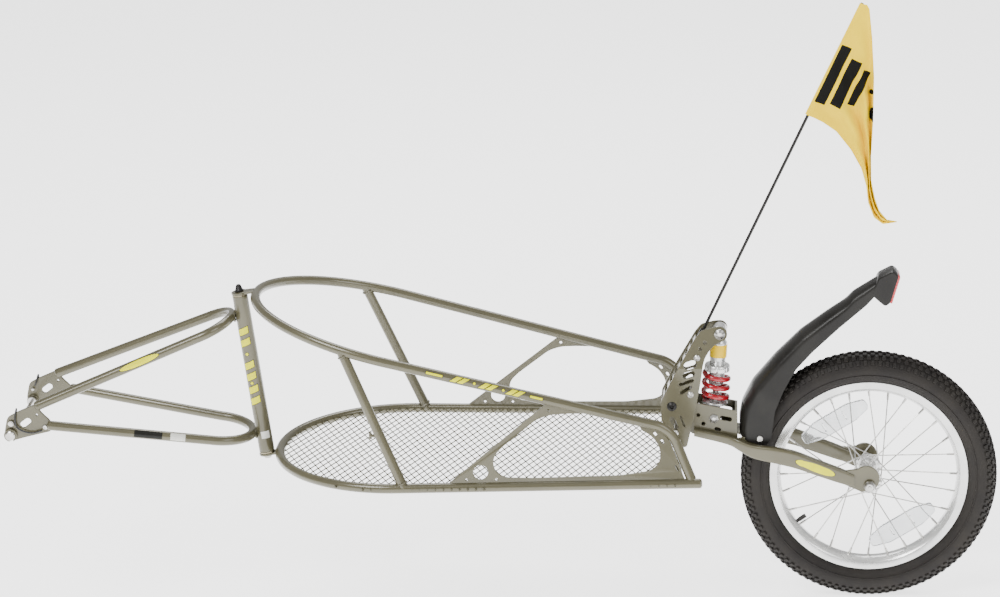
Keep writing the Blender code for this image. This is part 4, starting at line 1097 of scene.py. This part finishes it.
collar_profile = [(0.056, 0.0128), (0.056, 0.019), (0.0566, 0.0196), (0.06, 0.0205), (0.0654, 0.0205),
        (0.066, 0.0199),
                  (0.066, 0.0128)]
collar = spun("spring_collar", collar_profile, SHOCK_TOP, SHOCK_AXIS, 64, closed=True)
notch_out = SHOCK_AXIS.orthogonal().normalized()
notch = spun("notch", [(-0.006, 0), (-0.006, 0.0022), (0.006, 0.0022), (0.006, 0)],
             SHOCK_TOP + SHOCK_AXIS * 0.061 + notch_out * 0.0212, SHOCK_AXIS, 12)
turns = []
for i in range(8):
    turns.append(Matrix.Translation(SHOCK_TOP) @ Matrix.Rotation(math.pi * i / 4, 4, SHOCK_AXIS)
                 @ Matrix.Translation(-SHOCK_TOP))
notches = around(notch, "notches", turns)
cut_away(collar, notches)
hang(collar, turned_alloy, "collar", "preload_collar")

seat = SHOCK_LEN - 0.0215
rod = [(0.045, 0), (0.045, 0.005), (0.105, 0.005), (0.1056, 0.008), (0.1066, 0.0095), (0.109, 0.0088), (0.11, 0.0095),
       (0.1124, 0.0093), (0.1136, 0.0075), (0.114, 0.005), (seat, 0.005), (seat, 0.02), (seat + 0.0008, 0.0205),
       (seat + 0.003, 0.0205), (seat + 0.0036, 0.0198), (seat + 0.0045, 0.0092), (SHOCK_LEN - 0.006, 0.0088),
       (SHOCK_LEN - 0.006, 0)]
rod_piece = join("shock_rod_steel", [spun("rod", rod, SHOCK_TOP, SHOCK_AXIS, 48), eye_barrel("low_eye", SHOCK_LOW)])
hang(rod_piece, turned_alloy, "shock_rod", "shock_shaft")

# %% Spring
front = SIDEWAYS.cross(SHOCK_AXIS)
COIL_STEPS = 3 * 48 + 9
coil = []
for i in range(COIL_STEPS + 1):
    a = 2 * math.pi * i / 48
    lift = min(max((i / COIL_STEPS - 0.06) / 0.88, 0), 1)
    out = SIDEWAYS * math.cos(a) + front * math.sin(a)
    coil.append(SHOCK_TOP + SHOCK_AXIS * (0.0707 + 0.0429 * lift) + out * 0.0193)
spring = tube("red_spring", coil, 0.0041, 6)
hang(spring, red_coat, "shock_barrel", "shock_spring")
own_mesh(spring)

# %% [markdown]
# ## The wheel: rim, tyre and tube
# Rim and tyre are spun from their sections. The tread is one knob with bevelled edges, placed
# round the tyre in staggered rows. Copies go into one mesh, because hundreds of loose pieces
# would be slow to handle.

# %% Rim and tyre
WHEEL = Vector((1.374, 0.0, -0.103))


def wheel_point(radius, angle, y=0.0):
    return WHEEL + Vector((radius * math.cos(angle), y, radius * math.sin(angle)))


def wheel_turns(count, shift=0.0):
    """Even turns about the axle, which carry one piece to count places round the wheel."""
    turns = [Matrix.Rotation(-2 * math.pi * (i + shift) / count, 4, "Y") for i in range(count)]
    return [Matrix.Translation(WHEEL) @ turn @ Matrix.Translation(-WHEEL) for turn in turns]


def wheel_spun(name, profile, sides, closed=True):
    """A round part on the axle, from (distance across, radius) pairs."""
    return spun(name, profile, WHEEL, sides=sides, closed=closed)


rim_half = [(0.0, 0.1408), (0.006, 0.1409), (0.0092, 0.142), (0.0158, 0.1472), (0.0165, 0.1485), (0.0165, 0.1584)]
rim_half += [(0.016, 0.159), (0.015, 0.159), (0.0146, 0.1582), (0.0142, 0.152), (0.012, 0.1492), (0.007, 0.148),
        (0.0, 0.1478)]
hang(wheel_spun("rim_alloy", rim_half + mirrored(rim_half[1:-1]), 120), turned_alloy, "wheel", "rim")

tyre_half = [(0, 0.203), (0.006, 0.2024), (0.012, 0.2005), (0.0175, 0.197), (0.022, 0.192), (0.0248, 0.1862)]
tyre_half += [(0.0258, 0.18), (0.0254, 0.1742), (0.0238, 0.169), (0.0212, 0.1645), (0.0178, 0.1608), (0.016, 0.16)]
tyre_half += [(0.0142, 0.1592), (0.013, 0.153), (0.0095, 0.153), (0.0115, 0.1595), (0.017, 0.1655), (0.0215, 0.174)]
tyre_half += [(0.022, 0.182), (0.0195, 0.191), (0.013, 0.1975), (0.0, 0.2002)]
carcass = wheel_spun("carcass", tyre_half + mirrored(tyre_half[1:-1]), 120)
rib = [(0.0246, 0.1712), (0.0262, 0.1718), (0.0264, 0.173), (0.025, 0.1738)]
ribs = [wheel_spun("rib", rib, 96), wheel_spun("rib_left", mirrored(rib), 96)]
dress("inner_tube", moulded_black)


# %% Tread
def knob(name, along, across, y, radius, height, tilt):
    """One tread block at the top of the wheel, standing square on the tyre's round surface."""
    deselect()
    bpy.ops.mesh.primitive_cube_add(size=1)
    block = bpy.context.object
    block.name = name
    block.scale = (along, across, height)
    settle(block)
    modify(block, "BEVEL", width=0.0006, segments=1)
    block.data.transform(Matrix.Translation(WHEEL + Vector((0, y, radius))) @ Matrix.Rotation(-tilt, 4, "X"))
    return block


side_rows = [(0.007, 0.0062, 0.0085, 0.2032, 0.17, 0.5), (0.0072, 0.0064, 0.0165, 0.1992, 0.62, 0.0),
             (0.006, 0.007, 0.0225, 0.193, 0.98, 0.5)]
rows = [(0.0076, 0.006, 0.0, 0.204, 0.0, 0.0)]
for along, across, y, radius, tilt, shift in side_rows:
    rows += [(along, across, sign * y, radius, sign * tilt, shift) for sign in (1, -1)]
KNOBS, KNOB_HEIGHT = 104, 0.003
tread = []
for n, (along, across, y, radius, tilt, shift) in enumerate(rows):
    block = knob(f"knob_{n}", along, across, y, radius, KNOB_HEIGHT, tilt)
    tread.append(around(block, f"tread_{n}", wheel_turns(KNOBS, shift)))
hang(join("tyre_body", [carcass] + ribs + tread), black_rubber, "wheel", "tyre")

# %% [markdown]
# ## Hub and spokes
# The hub is turned alloy with two flanges, each drilled for fourteen spokes. A spoke has a
# head, an elbow through the flange, and a nipple at the rim. Two spokes are made for each side,
# one leaning forwards and one back, and each is copied seven times round the wheel.

# %% Hub
hub_half = [(0.0445, 0.0052), (0.0445, 0.0092), (0.0438, 0.01), (0.04, 0.0108), (0.038, 0.0118), (0.0376, 0.0206),
        (0.037, 0.021)]
hub_half += [(0.035, 0.021), (0.0344, 0.0206), (0.034, 0.014), (0.032, 0.0125), (0.022, 0.0106), (0.008, 0.01)]
hub = wheel_spun("hub_alloy", hub_half + mirrored(hub_half), 96)
HOLES, HOLE_CIRCLE = 14, 0.0185
FIRST_HOLE = {-1: 0.0, 1: math.pi / HOLES}
for side in (-1, 1):
    drill = spun("drill", [(0.03, 0), (0.03, 0.0013), (0.042, 0.0013), (0.042, 0)],
                 wheel_point(HOLE_CIRCLE, FIRST_HOLE[side]), (0, side, 0), 10)
    cut_away(hub, around(drill, "drills", wheel_turns(HOLES)))
hang(hub, turned_alloy, "wheel", "hub_shell")
axle_half = [(0.0449, 0.004), (0.0449, 0.0078), (0.0468, 0.008), (0.0472, 0.0066), (0.048, 0.0066), (0.048, 0.0044),
        (0.0605, 0.0044),
             (0.0605, 0.003), (0.0595, 0.0028)]
axle = wheel_spun("axle_tube", axle_half + mirrored(axle_half), 40)
locknut = wheel_spun("locknut", [(0.0476, 0.0042), (0.0476, 0.0082), (0.051, 0.0082), (0.0512, 0.0078),
        (0.0512, 0.0042)], 6)
axle = join("axle_steel", [axle, locknut, copy_of(locknut, "locknut_left", ACROSS)])
hang(axle, zinc_plate, "swing_arm", "hub_axle")


# %% Spokes
def spoke(name, side, angle, lean, outward):
    inner, outer = side * 0.0338, side * 0.0384
    near, far = (inner, outer) if outward else (outer, inner)
    hole, mid = wheel_point(HOLE_CIRCLE, angle, near), wheel_point(HOLE_CIRCLE, angle, far)
    rim_end = wheel_point(0.14, angle + lean, side * 0.003)
    along = (rim_end - mid).normalized()
    wire = tube(name, [hole, hole.lerp(mid, 0.8), mid + along * 0.0012, rim_end], 0.001, 2)
    head = spun(name + "_head", [(-0.0007, 0), (-0.0006, 0.0013), (0.0002, 0.002), (0.0006, 0.0018), (0.0006, 0)],
            hole,
                hole - mid, 10)
    nipple = spun(name + "_nipple", [(0, 0.001), (0, 0.0017), (0.008, 0.002), (0.0125, 0.002), (0.0125, 0.001)],
                  rim_end - along * 0.011, along, 8, closed=True)
    return join(name, [wire, head, nipple])


STEP = 2 * math.pi / HOLES
LACE = 3 * STEP
for side, sign in (("left", -1), ("right", 1)):
    start = FIRST_HOLE[sign]
    pair = [spoke(f"spoke_{side}_a", sign, start, LACE, True),
            spoke(f"spoke_{side}_b", sign, start + STEP, -LACE, False)]
    fans = [around(one, f"fan_{side}_{k}", wheel_turns(HOLES // 2)) for k, one in enumerate(pair)]
    hang(join(f"spoke_set_{side}", fans), zinc_plate, "wheel", f"spokes_{side}")

# %% Wheel reflectors
for label, degrees in (("upper", 121.5), ("lower", 301.5)):
    angle = math.radians(degrees)
    out, along = Vector((math.cos(angle), math.sin(angle))), Vector((math.sin(angle), -math.cos(angle)))
    centre = Vector((WHEEL.x, WHEEL.z)) + out * 0.104
    corners = [(-0.058, -0.008), (-0.03, -0.015), (0.03, -0.015), (0.058, -0.008), (0.058, 0.006), (0.03, 0.014),
               (-0.03, 0.014), (-0.058, 0.006)]
    outline = soften([tuple(centre + along * u + out * v) for u, v in corners], 0.004, 5)
    up = out * 0.006
    slots = [slot(*(centre + along * u - up), *(centre + along * u + up), 0.0022) for u in (-0.019, 0.019)]
    hang(sheet_part(f"wheel_lens_{label}", [outline] + slots, -0.0038, 0.0038, edge=0.0012), prism_lens, "wheel",
         f"wheel_reflector_{label}")

# %% Quick release
rod_line = [(-0.0725, 0), (-0.0725, 0.0024), (0.06, 0.0024), (0.0612, 0.003), (0.0612, 0.008), (0.0618, 0.0085),
        (0.067, 0.0084),
            (0.068, 0.0074), (0.068, 0)]
hang(wheel_spun("quick_release_rod", rod_line, 36, closed=False), zinc_plate, "swing_arm", "skewer")
knurl = [(-0.0608, 0.0027), (-0.0608, 0.0086), (-0.0616, 0.0092), (-0.065, 0.0092), (-0.066, 0.0086), (-0.07, 0.0066),
        (-0.071, 0.0058),
         (-0.071, 0.0027)]
hang(wheel_spun("quick_release_nut", knurl, 18), zinc_plate, "swing_arm", "qr_nut")
lie = math.radians(158)
forward, upward = Vector((math.cos(lie), math.sin(lie))), Vector((math.sin(lie), -math.cos(lie)))
lever_half = [(-0.002, 0.0068), (0.008, 0.006), (0.02, 0.0046), (0.032, 0.005), (0.042, 0.0062), (0.0465, 0.004)]
lever_line = [(s, -r) for s, r in lever_half] + [(s, r) for s, r in reversed(lever_half)]
middle = Vector((WHEEL.x, WHEEL.z))
outline = soften([tuple(middle + forward * u + upward * v) for u, v in lever_line], 0.004)
hang(sheet_part("quick_release_lever", [outline], 0.0693, 0.0733, edge=0.001), zinc_plate, "lever", "qr_lever")

# %% [markdown]
# ## Flag
# The pennant is a long triangle of coated cloth with a sleeve over the fibreglass pole. In still
# air it hangs from the pole in soft folds, and its tail curls. The folds are laid as waves that
# grow away from the sleeve. Its print is plain bars and spots.

# %% Pole, socket and cloth
for node in ("flag_pole", "flag_socket"):
    dress(node, moulded_black)
upper_edge = [(1.3595, 0.669), (1.3705, 0.6655), (1.3745, 0.6585), (1.3785, 0.613), (1.3815, 0.551), (1.38, 0.483),
        (1.377, 0.424), (1.3775, 0.385)]
upper_edge += [(1.383, 0.356), (1.39, 0.335), (1.402, 0.32), (1.418, 0.317)]
lower_edge = [(1.2745, 0.4935), (1.302, 0.479), (1.323, 0.464), (1.346, 0.434), (1.362, 0.404), (1.37, 0.375),
        (1.373, 0.348)]
lower_edge += [(1.382, 0.324), (1.396, 0.313), (1.418, 0.316)]


def pennant():
    columns, rows = 49, 97
    right, left = along_line(upper_edge, rows), along_line(lower_edge, rows)

    def place(i, j):
        across, fall = i / (columns - 1), j / (rows - 1)
        flat = left[j].lerp(right[j], across)
        grow = min(fall / 0.25, 1.0) * min((right[j] - left[j]).length / 0.04, 1.0) * min(across / 0.15, 1.0)
        fold = 0.0072 * grow * math.sin(2 * math.pi * (across * 2.3 + fall * 0.8))
        fold += 0.002 * grow * math.sin(2 * math.pi * (across * 4.7 - fall * 2.1) + 0.7)
        return Vector((flat.x, fold, flat.y))

    cloth = skin("pennant", columns, rows, place)
    pole_low, pole_top = Vector((1.0986, 0, 0.1142)), Vector((1.3635, 0, 0.668))
    up = (pole_top - pole_low).normalized()
    for v in cloth.data.vertices:
        gap = v.co - (pole_low + up * (v.co - pole_low).dot(up))
        v.co.y -= 0.0036 * min(max(1.8 - gap.length / 0.005, 0), 1)
    modify(cloth, "SOLIDIFY", thickness=0.0005, offset=0.0)
    return smooth(cloth, 60)


def hoist_frame(mat):
    """Object coordinates turned so that X runs down the sleeve from its top and Y out across the cloth."""
    place = turned_place(mat)
    place.vector_type = "TEXTURE"
    set_inputs(place, Location=(1.3655, 0, 0.6675), Rotation=(0, math.radians(25.6), 0))
    apart = mat.node_tree.nodes.new("ShaderNodeSeparateXYZ")
    mat.node_tree.links.new(place.outputs["Vector"], apart.inputs["Vector"])
    return apart.outputs["X"], apart.outputs["Z"]


def maths(mat, operation, a, b=0.0):
    node = mat.node_tree.nodes.new("ShaderNodeMath")
    node.operation = operation
    for socket, value in zip(node.inputs, (a, b)):
        if isinstance(value, (int, float)):
            socket.default_value = value
        else:
            mat.node_tree.links.new(value, socket)
    return node.outputs["Value"]


def spot(mat, u, v):
    """1 inside an ellipse, 0 outside."""
    squares = maths(mat, "ADD", maths(mat, "MULTIPLY", u, u), maths(mat, "MULTIPLY", v, v))
    return maths(mat, "LESS_THAN", squares, 1.0)


def box(mat, u, v):
    """1 inside a rectangle, 0 outside."""
    return maths(mat, "LESS_THAN", maths(mat, "MAXIMUM", maths(mat, "ABSOLUTE", u), maths(mat, "ABSOLUTE", v)), 1.0)


pennant_cloth = finish("pennant_cloth", (0.86, 0.6, 0.0), (0.8, 0.55, 0.0), 18, 0.6, 0.75, 2600, 0.3)
x, z = hoist_frame(pennant_cloth)
PRINT = [(box, 0.006, -0.122, 0.0085, 0.05), (box, 0.03, -0.126, 0.009, 0.04),
         (box, 0.052, -0.125, 0.006, 0.03), (spot, 0.072, -0.122, 0.003, 0.0045),
         (spot, 0.092, -0.146, 0.009, 0.017)]
ink = 0.0
for kind, centre_x, centre_z, half_x, half_z in PRINT:
    u = maths(pennant_cloth, "DIVIDE", maths(pennant_cloth, "SUBTRACT", x, centre_x), half_x)
    v = maths(pennant_cloth, "DIVIDE", maths(pennant_cloth, "SUBTRACT", z, centre_z), half_z)
    ink = maths(pennant_cloth, "MAXIMUM", kind(pennant_cloth, u, v), ink)
tree = pennant_cloth.node_tree
shader = set_inputs(shader_of(pennant_cloth), Specular_IOR_Level=0.05)
base = shader.inputs["Base Color"].links[0].from_socket
printed = tree.nodes.new("ShaderNodeMix")
printed.data_type = "RGBA"
tree.links.new(ink, printed.inputs["Factor"])
tree.links.new(base, printed.inputs["A"])
printed.inputs["B"].default_value = (0.008, 0.008, 0.007, 1)
tree.links.new(printed.outputs["Result"], shader.inputs["Base Color"])
cloth = pennant()
hang(cloth, pennant_cloth, "flag_and_pole", "flag")
area = sum(p.area for p in cloth.data.polygons) / 2
print("pennant area", round(area, 4))

# %% [markdown]
# ## Painted marks
# The real frame carries printed decals. Here they are plain generic slashes, spots and ovals in
# the same places. A mark is a small grid wrapped round its tube, with a dark border under it.


# %% Marks
def mark(name, centre, along, facing, radius, long, wide, slant=0.0, disc=False, lift=0.0002):
    """A patch on a tube: long along it, wide round it, slanted or rounded off."""
    along = Vector(along).normalized()
    facing = Vector(facing)
    facing = (facing - along * facing.dot(along)).normalized()
    sideways = along.cross(facing)

    def place(i, j):
        u, v = i / 8 - 1, j / 5 - 1
        if disc:
            u, v = u * math.sqrt(1 - v * v / 2), v * math.sqrt(1 - u * u / 2)
        a, b = u * long / 2 + v * slant * wide / 2, v * wide / 2 / radius
        return Vector(centre) + along * a + (facing * math.cos(b) + sideways * math.sin(b)) * (radius + lift)

    patch = skin(name, 17, 11, place)
    face_towards(patch, facing)
    modify(patch, "SOLIDIFY", thickness=0.00012, offset=-1.0)
    return smooth(patch, 30)


def bordered(name, centre, along, facing, radius, long, wide, body, slant=0.0, disc=False, border=0.0016):
    """A yellow mark on a dark border, here and mirrored on the far side."""
    for layer, grow, lift, mat in (("border", border, 0.00018, black_mark), ("face", 0.0, 0.00034, yellow_mark)):
        patch = mark(f"{name}_{layer}", centre, along, facing, radius, long + grow, wide + grow, slant, disc, lift)
        twin = copy_of(patch, f"{name}_{layer}_far", ACROSS)
        hang(patch, mat, body)
        hang(twin, mat, body)


TOWARDS, PIVOT_TOWARDS = (0, -1, 0.3), (-0.25, -1, 0)
for n, s in enumerate((0.1981, 0.1402, 0.0991)):
    for k, shift in enumerate((-0.0095, 0.0095)):
        bordered(f"pivot_slash_{n}_{k}", PIVOT_LOW + PIVOT_AXIS * (s + shift), PIVOT_AXIS, PIVOT_TOWARDS, PIVOT_R,
                 0.011, 0.017, "fork", 0.35)
for n, s in enumerate((0.169, 0.1197)):
    bordered(f"pivot_spot_{n}", PIVOT_LOW + PIVOT_AXIS * s, PIVOT_AXIS, PIVOT_TOWARDS, PIVOT_R, 0.005, 0.005,
             "fork", disc=True, border=0.001)


def on_rail(x):
    return (x, -(half_low(x) - LEAN_IN), height_up(x))


rail_way = Vector(on_rail(0.85)) - Vector(on_rail(0.7))
dashes = [(x, 0.009, -1.1) for x in (0.729, 0.74, 0.773, 0.784, 0.815, 0.826)]
for n, (x, long, slant) in enumerate([(0.6952, 0.026, 0.0)] + dashes + [(0.8529, 0.02, 0.0)]):
    bordered(f"rail_mark_{n}", on_rail(x), rail_way, TOWARDS, TUBE_R, long, 0.0095 if slant else 0.0035, "basket",
            slant, border=0.0012)
for n, x in enumerate((0.757, 0.8018)):
    bordered(f"rail_spot_{n}", on_rail(x), rail_way, TOWARDS, TUBE_R, 0.004, 0.004, "basket", disc=True, border=0.001)

fork_a, fork_b = Vector((0.048, -0.0865, 0.0478)), Vector((0.305, -0.06, 0.15))
bordered("fork_oval", fork_a.lerp(fork_b, 0.639), fork_b - fork_a, TOWARDS, TUBE_R, 0.068, 0.0105, "fork", disc=True,
        border=0.0024)
leg_a, leg_b = Vector((1.256, -0.057, -0.0595)), Vector((1.327, -0.057, -0.0865))
bordered("leg_oval", leg_a.lerp(leg_b, 0.45) + Vector((0, 0.043, 0)), leg_b - leg_a, (0, -1, 0), 0.05, 0.066, 0.015,
        "swing_arm",
         disc=True, border=0.002)
low_a, low_b = Vector((0.072, -0.096, 0.0155)), Vector((0.318, -0.062, -0.0212))
low_way = low_b - low_a
hang(mark("fork_label", low_a.lerp(low_b, 0.6), low_way, TOWARDS, TUBE_R, 0.045, 0.0125), black_mark, "fork")
hang(mark("fork_tag", low_a.lerp(low_b, 0.79), low_way, TOWARDS, TUBE_R, 0.024, 0.0125), white_mark, "fork")
hang(mark("pivot_tag", PIVOT_LOW + PIVOT_AXIS * 0.03, PIVOT_AXIS, (0.35, -1, 0), PIVOT_R, 0.012, 0.014),
     white_mark, "fork")

# %% [markdown]
# ## Last look
# Every node either keeps its shape with a finish or has a finer piece in its place. The nodes
# that still show as they are get printed.

# %% Nodes shown, and the end
shown = [n for n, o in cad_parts.items() if not o.hide_render]
print("nodes shown as they are:", shown)
